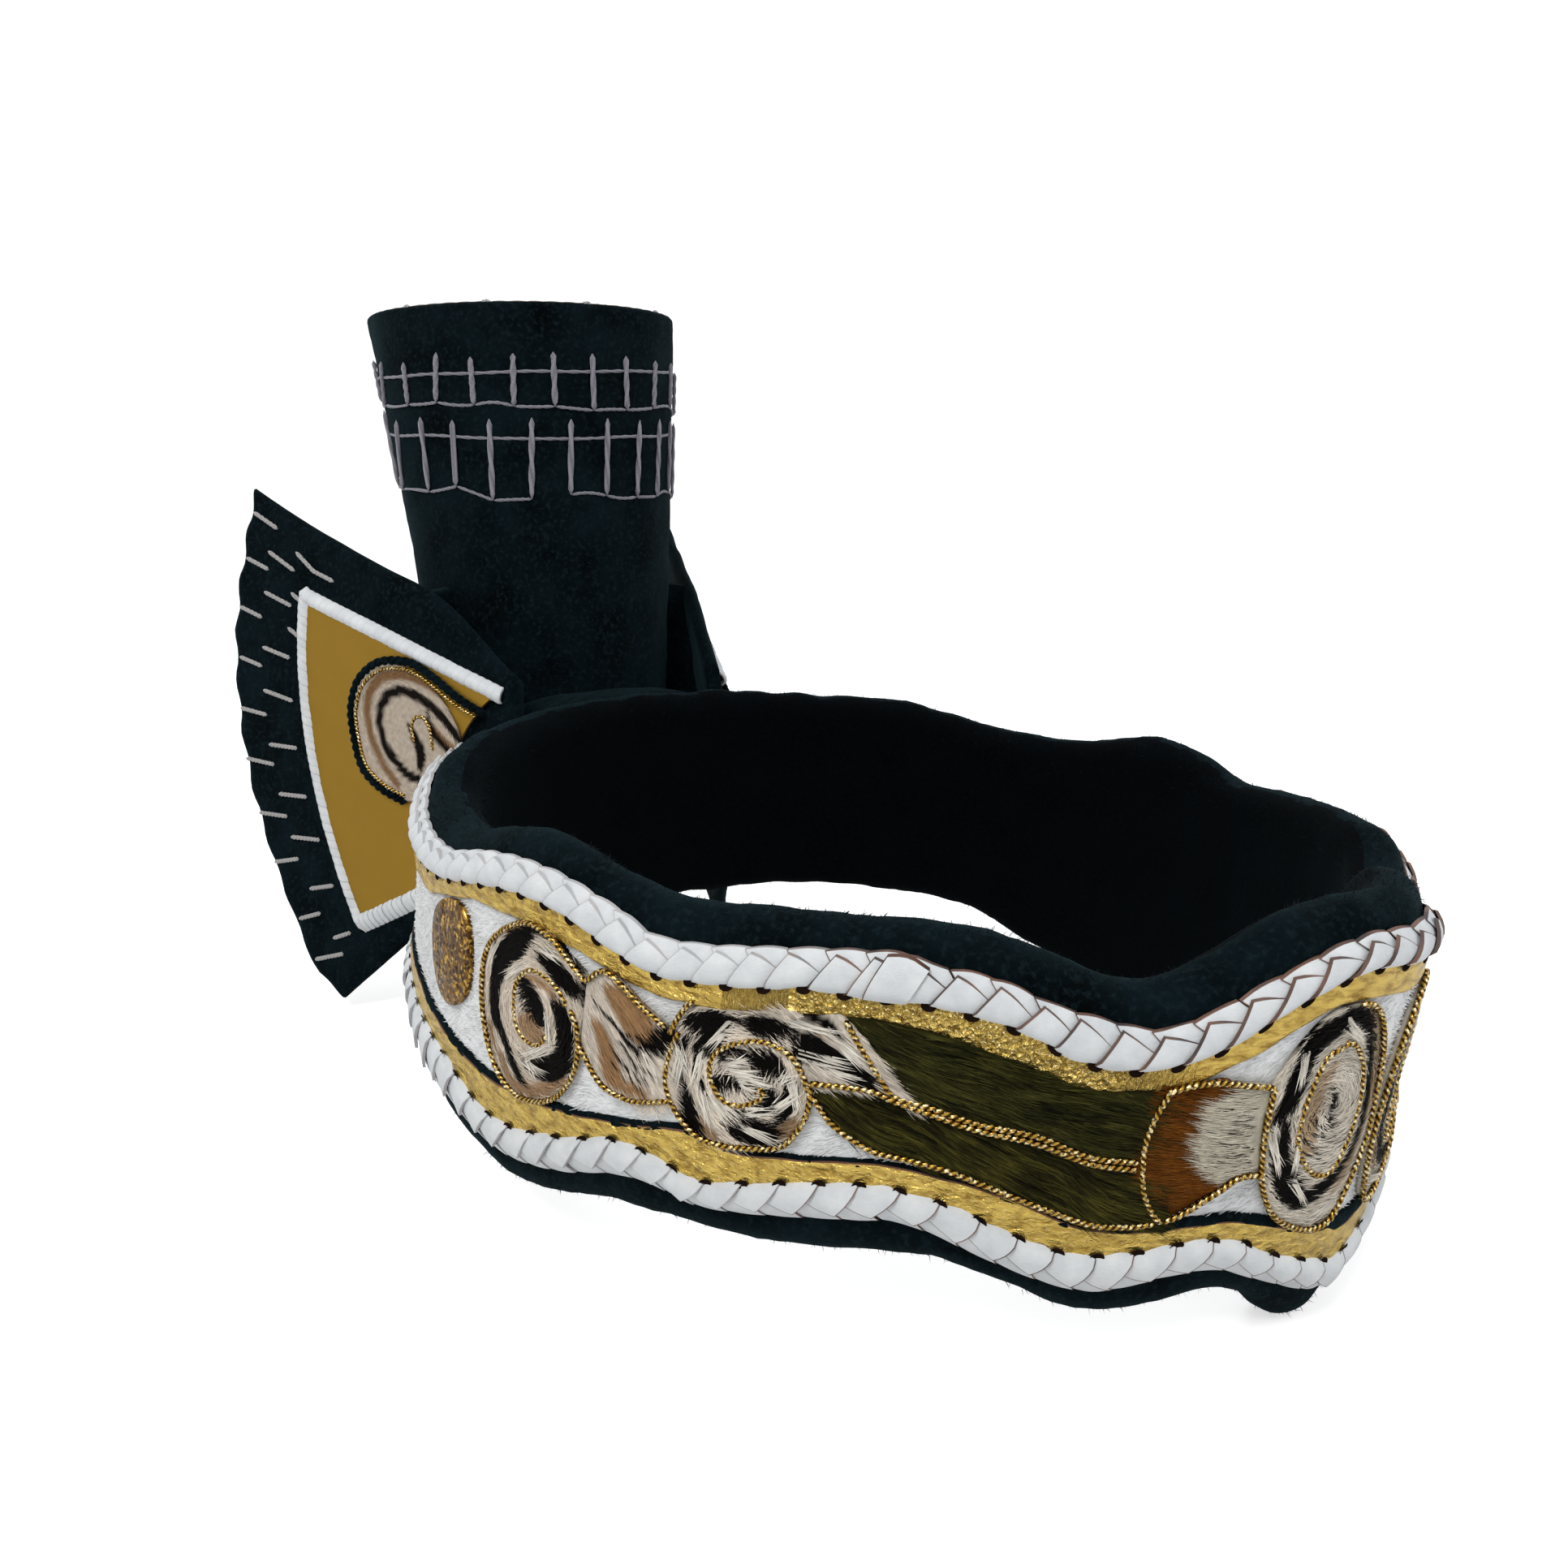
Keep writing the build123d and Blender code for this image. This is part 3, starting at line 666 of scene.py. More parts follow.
# Hairs as narrow ribbons with a bend: a foot, a middle and a tip, on the parabola
# foot + way * length * t + away * (rise * t - fall * t * t)
def hairRibbons(foot, way, away, length, width, rise, fall):
    across = unit(np.cross(away, way), 1e-9)
    rows = []
    for t, share in ((0.0, 1.0), (0.5, 0.8)):
        middle = foot + way * (length * t)[:, None] + away * (rise * t - fall * t * t)[:, None]
        half = across * (width * share / 2)[:, None]
        rows += [middle - half, middle + half]
    rows.append(foot + way * length[:, None] + away * (rise - fall)[:, None])
    corner = np.array([[0, 1, 3], [0, 3, 2], [2, 3, 4]])
    faces = (np.arange(len(foot)) * 5)[:, None, None] + corner[None]
    return np.stack(rows, 1).reshape(-1, 3), faces.reshape(-1, 3)


# Tints of hair ribbons: feet darker than the hair by a share, tips brighter
def hairTones(tint, feet, tips=1.0):
    tones = np.repeat(tint, 5, 0).reshape(-1, 5, 3)
    tones[:, :2] *= feet
    tones[:, 4] *= tips
    return tones


def addHairs(name, slot, ribbons, tones):
    points, faces = ribbons
    addPiece(name, settle(points), faces, hair, slot, tint=tones, weld=False)


# Two-strand twisted cord along a line: its radius swells with each strand, and the strands wind round it.
# Gives its points, its faces with the two caps, and how far each point stands on a strand
def twistedCord(line, away, radius, lay, sides=10, flat=1.0):
    run = runLength(line)
    ahead = unit(np.gradient(line, axis=0), 1e-9)
    across = unit(np.cross(ahead, away), 1e-9)
    up = np.cross(across, ahead)
    turn = np.linspace(0, 2 * np.pi, sides, endpoint=False)[None]
    lobe = np.abs(np.cos(turn - 2 * np.pi * run[:, None] / lay))
    groove = 0.58
    size = radius * (groove + (1 - groove) * lobe)
    end = np.minimum(np.minimum(run, run[-1] - run) / radius, 1.0)
    size *= np.sqrt(np.maximum(1 - (1 - end) ** 2, 0.02))[:, None]
    points = (line[:, None] + across[:, None] * (np.cos(turn) * size)[..., None]
              + up[:, None] * (np.sin(turn) * size * flat)[..., None])
    n = np.arange(len(line) * sides).reshape(len(line), sides)
    n = np.concatenate([n, n[:, :1]], 1)
    faces = np.stack([n[:-1, :-1], n[:-1, 1:], n[1:, 1:], n[1:, :-1]], -1).reshape(-1, 4)
    caps = np.stack([n[0, :-1][::-1], n[-1, :-1]])
    return points.reshape(-1, 3), [faces, caps], lobe.reshape(-1)


# Several point sets and their faces as one
def joined(parts):
    points, faces, values, offset = [], {}, [], 0
    for part in parts:
        points.append(part[0])
        for block in part[1]:
            faces.setdefault(block.shape[1], []).append(block + offset)
        values.append(part[2])
        offset += len(part[0])
    return np.concatenate(points), [np.concatenate(block) for block in faces.values()], np.concatenate(values)


def addCords(name, parts, material, slot):
    points, faces, lobe = joined(parts)
    addPiece(name, settle(points), faces, material, slot, values={"lobe": lobe}, weld=False)


# A slab between two grids of points, its front and its back, with its four sides
def addSlab(name, front, back, material, slot, nodes=(), flip=False, **more):
    rows, columns = front.shape[:2]
    size = rows * columns
    n = np.arange(size).reshape(rows, columns)
    faces = [gridFaces(rows, columns), gridFaces(rows, columns, True) + size]
    for line in (n[:, 0], n[-1, :], n[::-1, -1], n[0, ::-1]):
        faces.append(np.stack([line[:-1], line[:-1] + size, line[1:] + size, line[1:]], -1))
    faces = np.concatenate(faces)
    return addPiece(name, settle(np.stack([front, back])), faces[:, ::-1] if flip else faces, material, slot,
                    nodes, **more)


# Padded velvet ring with a soft, slightly lumpy skin
def makeRing():
    look = {"step": 1.0, "wallRows": 12, "rollRows": 17, "lump": 0.35, "fine": 0.16, "inner": -0.03}
    deg = np.arange(0, 360, look["step"])
    skin = ringSkin(deg, look["wallRows"], look["rollRows"])
    away = unit(skin - skin.mean(1, keepdims=True))
    skin = skin + away * (look["lump"] * lumps(skin, 16.0, 3) + look["fine"] * lumps(skin, 4.5, 4))[..., None]
    closed = np.concatenate([skin, skin[:, :1]], 1)
    closed = np.concatenate([closed, closed[:1]], 0)
    piece = addPiece("head_ring_velvet", settle(closed), gridFaces(*closed.shape[:2]), velvet, "velvet",
                     ["head_ring"])

    # The inner wall takes a darker copy of the velvet: painted shade
    piece.data.materials.append(innerShadeVelvet)
    sides = piece.data.polygons
    centres, normals = np.empty(len(sides) * 3), np.empty(len(sides) * 3)
    sides.foreach_get("center", centres)
    sides.foreach_get("normal", normals)
    middle = np.array([0.0, cadLow[1] / 4, 0.0])
    outward = ((centres.reshape(-1, 3) - middle) * normals.reshape(-1, 3) * (1, 1, 0)).sum(1)
    sides.foreach_set("material_index", (outward < look["inner"]).astype(np.int32))


# Short pile along the ring's two rolls, where it stands against the light
def makePile():
    look = {"count": 15000, "length": 1.1, "width": 0.11, "seed": 11, "upper": 0.68, "past": 0.25,
            "deep": 4.0, "spread": 0.45, "colour": "#070f13"}
    draw = np.random.default_rng(look["seed"])
    count = look["count"]
    deg = draw.uniform(0, 360, count)
    roll = draw.uniform(-look["past"], 1 + look["past"], count) * np.pi
    upper = draw.random(count) < look["upper"]
    sign = np.where(upper, 1.0, -1.0)
    edge = np.where(upper, panelEdge(deg, 1) + ring["velvetAbove"] - ring["roll"],
                    panelEdge(deg, -1) - ring["velvetBelow"] + ring["roll"])
    turn = np.clip(roll, 0, np.pi)
    straight = np.abs(roll - turn)
    out = ring["wall"] / 2 * (np.cos(turn) - 1)
    foot = ringPoint(deg, out, edge + sign * (ring["roll"] * np.sin(turn) - straight * look["deep"]))
    run, away = ringPlan(deg)[1:]
    normal = away * np.cos(turn)[:, None]
    normal[:, 2] = sign * np.sin(turn)
    way = unit(normal * 0.75 + draw.normal(size=(count, 3)) * look["spread"] + run * 0.3)
    length = look["length"] * draw.uniform(0.5, 1.3, count)
    zero = np.zeros(count)
    ribbons = hairRibbons(foot - normal * 0.2, way, draw.normal(size=(count, 3)), length,
                          np.full(count, look["width"]), zero, zero)
    tone = colour(look["colour"]) * draw.uniform(0.4, 2.0, count)[:, None] ** 1.3
    addHairs("ring_pile", "velvet", ribbons, hairTones(tone, 1.0))


# Degrees along the panel, from its one end to the other
def panelDegrees(step):
    return np.arange(-panel["end"], panel["end"] + 0.01, step)


# White hide of the panel, a thin strip round the ring under the fur
def makeGround():
    look = {"step": 1.0, "rows": 12, "thick": 1.0, "lump": 0.12, "under": 0.6}
    deg = panelDegrees(look["step"])
    low = borderLevel("lowInner", deg) - look["under"]
    high = borderLevel("topInner", deg) + look["under"]
    level = low[:, None] + (high - low)[:, None] * np.linspace(0, 1, look["rows"])[None]
    front = ringPoint(deg[:, None], panel["seat"] + look["thick"], level)
    front = front + ringPlan(deg)[2][:, None] * (look["lump"] * lumps(front, 7.0, 5))[..., None]
    back = ringPoint(deg[:, None], panel["seat"], level)
    piece = addSlab("panel_hide", front, back, hide, "white_hide", ["panel_ground"])


# Lumps along a line by its running length alone
def runLumps(deg, size, seed):
    return lumps(np.stack([runAt(deg), 0 * deg], -1), size, seed)


# Level of the gilt leather's inner edge along the panel's top (sign 1) or bottom edge
def giltEdge(deg, sign):
    name = "goldLow" if sign > 0 else "goldHigh"
    return borderLevel(name, deg) + sign * 0.2 * runLumps(deg, 9.0, 21 + sign)


# A gilt leather strip along one edge of the panel, crinkled, with brown raw edges. The top one is smooth at
# the front and coarse foil past it
def makeGilding(name, sign):
    look = {"step": 0.45, "rows": 15, "top": 2.3, "under": 1.5, "crinkle": 0.13, "seed": 21 + sign,
            "tuck": 1.2, "foil": (26, 66), "smooth": 30, "fade": 6, "rounded": 0.35 if sign > 0 else 0.1}
    deg = panelDegrees(look["step"])
    across = np.append(np.linspace(0, 0.955, look["rows"] - 2), (0.96, 1.0))
    outer = borderLevel("topInner" if sign > 0 else "lowInner", deg) + sign * look["tuck"]
    level = outer[:, None] + (giltEdge(deg, sign) - outer)[:, None] * across[None]
    turn = np.abs(deg)
    foil, smooth = 0.15 + 0 * deg, 0.45 + 0 * deg
    if sign > 0:
        first, last = look["foil"]
        foil = np.clip((turn - first) / look["fade"], 0, 1) * np.clip((last - turn) / look["fade"], 0, 1)
        smooth = np.clip((look["smooth"] - turn) / look["fade"], 0, 1)
    drawn = runAt(deg)[:, None] * (0.45 + 0.55 * foil)[:, None]
    plane = np.stack([drawn + 0 * level, level], -1)
    rise = lumps(plane, 2.6, look["seed"]) + 0.6 * lumps(plane, 1.3, look["seed"] + 1)
    rise = look["crinkle"] * (1 - 0.7 * smooth)[:, None] * rise
    rounded = look["rounded"] * np.maximum(0, (across - 0.9) / 0.1) ** 2
    front = ringPoint(deg[:, None], look["top"] + rise - rounded[None], level)
    back = ringPoint(deg[:, None], look["under"], level)
    raw = np.zeros((2,) + level.shape)
    raw[0, :, -1 if sign > 0 else -2:] = 1.0
    raw[1] = 1.0
    values = {"raw": raw, "along": runAt(deg)[:, None], "across": level, "foil": foil[:, None],
              "smooth": smooth[:, None]}
    values = {key: np.broadcast_to(value, raw.shape) for key, value in values.items()}
    addSlab(name + "_gilt", front, back, giltBorder, "gold_leather", [name], sign > 0, values=values,
            sharp=50)


# Thin dark strip that shows above the lower gilt leather: (degrees, width)
darkStrip = np.array(((0, 2.2), (4, 2.0), (8, 0.9), (12, 1.3), (19, 1.3), (31, 0.8), (40, 0.35), (54, 0.4),
                      (60, 0.7), (66, 0.9), (72, 0.6), (85, 0.9), (97, 1.0), (120, 0.8), (160, 0.6)))


def darkStripTop(deg):
    return giltEdge(deg, -1) + np.interp(np.abs(deg), darkStrip[:, 0], darkStrip[:, 1])


def makeDarkStrip():
    look = {"step": 0.7, "rows": 7, "uneven": 0.12, "tuck": 0.8, "out": 1.75, "arch": 0.5, "under": 1.2}
    deg = panelDegrees(look["step"])
    top = darkStripTop(deg) + look["uneven"] * runLumps(deg, 3.0, 25)
    low = giltEdge(deg, -1) - look["tuck"]
    level = low[:, None] + (top - low)[:, None] * np.linspace(0, 1, look["rows"])[None]
    arch = look["arch"] * np.sin(np.pi * np.linspace(0.35, 1, look["rows"]))[None]
    front = ringPoint(deg[:, None], look["out"] + arch, level)
    back = ringPoint(deg[:, None], look["under"], level)
    addSlab("panel_dark_strip", front, back, velvet, "velvet")


# White lacing: each pass is a leather scale that leans one way, over a smaller one that leans the other.
# Places are (passes along, share across from the gold to the outer edge, height)
lacing = {"pass": 6.2, "lift": 0.85, "skirt": 0.6, "rows": 9, "seed": 31, "uneven": 0.03, "shake": 0.06,
          "top": ((0, 0), (0.53, 0.97), (1.4, 0.5), (1.02, -0.03)),
          "bottom": ((0, 0), (0.53, 0.76), (1.4, 0.38), (1.02, -0.03)),
          "under": ((1.15, 0.2), (0.3, 1.0), (1.36, 1.0), (2.0, 0.2)),
          "wrap": ((-0.72, -0.05), (-0.32, 1.03), (0.7, 1.0), (0.3, -0.06)), "join": (1105, 1205),
          "holeAt": 0.48, "holeLong": 1.15, "holeHigh": 0.85, "holeSides": 10}


def laceHeight(v):
    return 2.6 + 2.1 * v - 3.6 * v * v


# Corners are the foot left, top left, top right and foot right; the rim holds the two raw edges that show
def laceScales(corners, rows, columns, lift, sink, bulge, draw, count):
    a = np.concatenate([[0.0, 0.017, 0.034], np.linspace(0.11, 1, rows - 3)])[:, None]
    b = np.concatenate([np.linspace(0, 0.94, columns - 3), [0.976, 0.988, 1.0]])[None]
    (x0, v0), (x1, v1), (x2, v2), (x3, v3) = corners
    x = (1 - a) * (x0 + (x1 - x0) * b) + a * (x3 + (x2 - x3) * b) - 0.05 * np.sin(np.pi * b) * (1 - a)
    v = (1 - a) * (v0 + (v1 - v0) * b) + a * (v3 + (v2 - v3) * b)
    v = v - bulge * np.sin(np.pi * a ** 0.9) * (1 - b) ** 2 + 0.05 * np.sin(np.pi * a) * b ** 2
    shift = draw.normal(0, lacing["uneven"], (count, 1, 1))
    x = x[None] + shift + draw.normal(0, lacing["uneven"], (count, 1, 1)) * b
    v = np.broadcast_to(v[None], x.shape)
    belly = 0.3 * np.sin(np.pi * a) * np.sin(np.pi * b) - 0.7 * np.clip((0.22 - b) / 0.22, 0, 1) ** 2
    h = laceHeight(np.clip(v, -0.12, 1.06)) - sink + (lift * (1 - a) ** 1.4 + belly)[None]
    h = h + draw.normal(0, lacing["shake"], (count, 1, 1))
    return x, v, h, np.maximum(a < 0.02, b > 0.985).astype(float)


# Scale tops and their raw sides: the border of each scale again, and once more below it
def scaleMesh(scales, place, skirt, flip=False, brown=1.0):
    x, v, h, rim = scales
    count, rows, columns = x.shape
    size = rows * columns
    top = place(x, v, h).reshape(count, size, 3)
    n = np.arange(size).reshape(rows, columns)
    loop = np.concatenate([n[:, 0], n[-1, 1:], n[-2::-1, -1], n[0, -2:0:-1]])
    below = place(x, v, h - skirt).reshape(count, size, 3)[:, loop]
    points = np.concatenate([top, top[:, loop], below], 1)
    around = len(loop)
    k = np.arange(around)
    after = (k + 1) % around
    side = np.stack([size + k, size + around + k, size + around + after, size + after], -1)
    faces = np.concatenate([gridFaces(rows, columns), side])
    faces = faces[:, ::-1] if flip else faces
    faces = (np.arange(count) * points.shape[1])[:, None, None] + faces[None]
    raw = np.concatenate([np.tile(rim.reshape(1, -1), (count, 1)), np.ones((count, 2 * around))], 1)
    return points.reshape(-1, 3), [faces.reshape(-1, 4)], (raw * np.reshape(brown, (-1, 1))).reshape(-1)


# The lace runs forward along the top edge (sign 1) and back along the bottom one (sign -1)
def makeLacing(name, sign):
    draw = np.random.default_rng(lacing["seed"] + sign)
    start, stop = runAt(-panel["end"]), runAt(panel["end"])
    count = int(round((stop - start) / lacing["pass"]))
    step = (stop - start) / count
    edges = ("topInner", "topOuter") if sign > 0 else ("lowInner", "lowOuter")

    def placeAt(deg, v, h):
        inner, outer = (borderLevel(edge, deg) for edge in edges)
        return settle(ringPoint(deg, h, inner + (outer - inner) * v))

    def place(x, v, h):
        run = start + step * (np.arange(len(x))[:, None, None] + 0.5 + sign * (x - 0.5))
        return placeAt(degAt(np.clip(run, start, stop)), v, h)

    # The raw edges are brown towards the front and grey further back
    brown = np.clip((72 - np.abs(degAt(start + step * (np.arange(count) + 0.5)))) / 16, 0.35, 0.95)
    rows = lacing["rows"]
    corners = lacing["top" if sign > 0 else "bottom"]
    main = laceScales(corners, rows, rows, lacing["lift"], 0.0, 0.1, draw, count)
    under = laceScales(lacing["under"], rows, rows, 0.35, 0.5, 0.0, draw, count)
    parts = [scaleMesh(scales, place, lacing["skirt"], brown=brown) for scales in (main, under)]
    if sign > 0:
        # The lace is joined under one straight wrap on each side
        joinRun = runAt(-photoToPanel([lacing["join"]])[0, 0])
        side = np.array([1.0, -1.0])[:, None, None]

        def placeWrap(x, v, h):
            return placeAt(degAt(side * joinRun + side * x * lacing["pass"]), v, h)

        wrap = laceScales(lacing["wrap"], rows, rows + 1, 0.0, -1.25, 0.02, draw, 2)
        parts.append(scaleMesh(wrap, placeWrap, 0.9))
    points, faces, raw = joined(parts)
    addPiece(name + "_lace", points, faces, lace, "white_lacing", [name], values={"raw": raw}, weld=False,
             sharp=60)

    # Punched holes in the gilt leather beside each pass: flat dark discs, lower in the middle, that paint the
    # shade inside each hole
    sides = lacing["holeSides"]
    turn = np.linspace(0, 2 * np.pi, sides, endpoint=False)
    centre = start + step * (np.arange(count) + 0.5 + sign * lacing["holeAt"])
    discs = []
    for reach, height in ((0.0, 2.35), (1.0, 2.7)):
        deg = degAt(centre[:, None] + reach * lacing["holeLong"] * np.cos(turn)[None])
        level = borderLevel(edges[0], deg) - sign * (0.2 - reach * lacing["holeHigh"] * np.sin(turn)[None])
        discs.append(ringPoint(deg, height, level))
    k = np.arange(sides)
    fours = np.stack([k, k + sides, (k + 1) % sides + sides, (k + 1) % sides], -1)
    faces = ((np.arange(count) * 2 * sides)[:, None, None] + fours[None]).reshape(-1, 4)
    addPiece(name + "_hole_shade", settle(np.stack(discs, 1).reshape(-1, 3)), faces, holeShade, "gold_leather")


# Fur pieces, outlined in the photo's pixels: round outlines, then strips with a lower and an upper line
roundFurs = {
    "gold_oval": ((546, 1107), (562, 1111), (573, 1130), (578, 1165), (577, 1205), (570, 1230), (556, 1239),
        (543, 1225), (535, 1195), (532, 1155), (535, 1122)),
    "scroll_a": ((724, 1207), (700, 1178), (680, 1153), (653, 1137), (630, 1141), (612, 1153), (602, 1170),
        (597, 1192), (596, 1233), (602, 1278), (615, 1319), (637, 1348), (666, 1357), (691, 1348),
        (709, 1319), (714, 1287), (714, 1262), (724, 1238)),
    "scroll_b": ((852, 1242), (838, 1262), (827, 1290), (822, 1320), (824, 1350), (838, 1377), (860, 1399),
        (885, 1409), (911, 1413), (940, 1413), (962, 1411), (988, 1386), (999, 1360), (999, 1335),
        (996, 1310), (994, 1280), (992, 1253), (960, 1250), (900, 1246), (875, 1243)),
    "rust_fur": ((1441, 1342), (1424, 1373), (1411, 1405), (1407, 1437), (1408, 1469), (1421, 1498),
        (1432, 1503), (1456, 1493), (1490, 1473), (1512, 1459), (1520, 1400), (1522, 1336), (1480, 1337)),
    "cream_fur": ((1508, 1336), (1545, 1337), (1568, 1341), (1561, 1375), (1555, 1414), (1553, 1446),
        (1526, 1451), (1504, 1465), (1488, 1472), (1478, 1446), (1470, 1414), (1484, 1378), (1502, 1350)),
    "scroll_c": ((1650, 1247), (1625, 1268), (1600, 1297), (1583, 1322), (1570, 1341), (1561, 1375),
        (1555, 1414), (1553, 1448), (1557, 1475), (1568, 1498), (1591, 1511), (1614, 1512), (1636, 1498),
        (1654, 1466), (1668, 1433), (1682, 1395), (1691, 1356), (1702, 1299), (1702, 1257), (1693, 1240),
        (1676, 1238)),
}
stripFurs = {
    "link_fur": (((714, 1285), (742, 1333), (774, 1353), (800, 1357), (826, 1357)), ((722, 1207), (745, 1197),
        (768, 1214), (792, 1240), (827, 1270))),
    "leaf_fur": (((985, 1336), (1039, 1339), (1077, 1345), (1110, 1356)), ((985, 1251), (1012, 1252),
        (1044, 1256), (1106, 1350))),
    "green_upper": (((1104, 1352), (1151, 1366), (1183, 1378), (1215, 1388), (1278, 1401), (1341, 1426),
        (1405, 1433)), ((1040, 1251), (1100, 1262), (1150, 1276), (1200, 1292), (1250, 1310), (1330, 1342),
        (1441, 1344))),
    "green_lower": (((1003, 1353), (1023, 1383), (1055, 1407), (1081, 1420), (1119, 1429), (1167, 1442),
        (1215, 1461), (1278, 1486), (1341, 1508), (1389, 1511), (1421, 1505)), ((1001, 1338), (1039, 1340),
        (1077, 1347), (1103, 1358), (1151, 1375), (1183, 1386), (1215, 1396), (1278, 1410), (1341, 1434),
        (1380, 1440), (1407, 1441))),
}


def panelLine(pixels, count, closed=False):
    return photoToPanel(smoothLine(pixels, count, closed))


# A grid over a fur piece, as (degrees, level), and how near each point is to the rim, from 0 to 1
def furGrid(name, rows, columns):
    if name in roundFurs:
        outline = panelLine(roundFurs[name], columns - 1, True)
        middle = outline[:-1].mean(0)
        reach = np.linspace(0, 1, rows)[:, None, None]
        return middle + (outline[None] - middle) * reach, np.broadcast_to(reach[..., 0], (rows, columns))
    low, high = (panelLine(line, columns) for line in stripFurs[name])
    across = np.linspace(0, 1, rows)[:, None, None]
    along = np.linspace(-1, 1, columns)[None]
    rim = np.maximum(np.abs(across[..., 0] * 2 - 1), np.abs(along) ** 6)
    return low[None] * (1 - across) + high[None] * across, rim


# Scattered places on a fur piece, and how near the rim each is
def furPlaces(name, count, draw):
    rows, columns = 30, 61
    grid, rim = furGrid(name, rows, columns)
    a = draw.random(count)
    a = np.sqrt(a) if name in roundFurs else a
    i, j = a * (rows - 1), draw.random(count) * (columns - 1)
    i0, j0 = np.minimum(i.astype(int), rows - 2), np.minimum(j.astype(int), columns - 2)
    fi, fj = (i - i0)[:, None], (j - j0)[:, None]
    near = grid[i0, j0] * (1 - fj) + grid[i0, j0 + 1] * fj
    far = grid[i0 + 1, j0] * (1 - fj) + grid[i0 + 1, j0 + 1] * fj
    return near * (1 - fi) + far * fi, rim[i0, j0] * (1 - fi[:, 0]) + rim[i0 + 1, j0] * fi[:, 0]


# Flat map of the panel as the photo shows it, in millimetres: right is towards the front, up is up
def flatMap(deg, level):
    return np.stack([-runAt(deg), level], -1)


def photoMap(pixels):
    spot = photoToPanel(pixels)
    return flatMap(spot[:, 0], spot[:, 1])


# How much each place lies within strokes, from 0 to 1; a stroke is a line of (x, y, width) photo pixels
def strokeMask(places, strokes, soft, toMap=photoMap, pixelsPerMm=5.6, steps=6):
    mask = np.zeros(len(places))
    for stroke in strokes:
        fine = smoothLine(stroke, steps * len(stroke))
        line = toMap(fine[:, :2])
        half = fine[:, 2] / pixelsPerMm / 2
        for k in range(len(line) - 1):
            step = line[k + 1] - line[k]
            along = np.clip((places - line[k]) @ step / (step @ step + 1e-9), 0, 1)
            far = np.linalg.norm(places - line[k] - along[:, None] * step, axis=1)
            width = half[k] * (1 - along) + half[k + 1] * along
            mask = np.maximum(mask, np.clip((width - far) / soft + 0.5, 0, 1))
    return mask[:, None]


def blend(tint, other, mask):
    return tint * (1 - mask) + other * mask


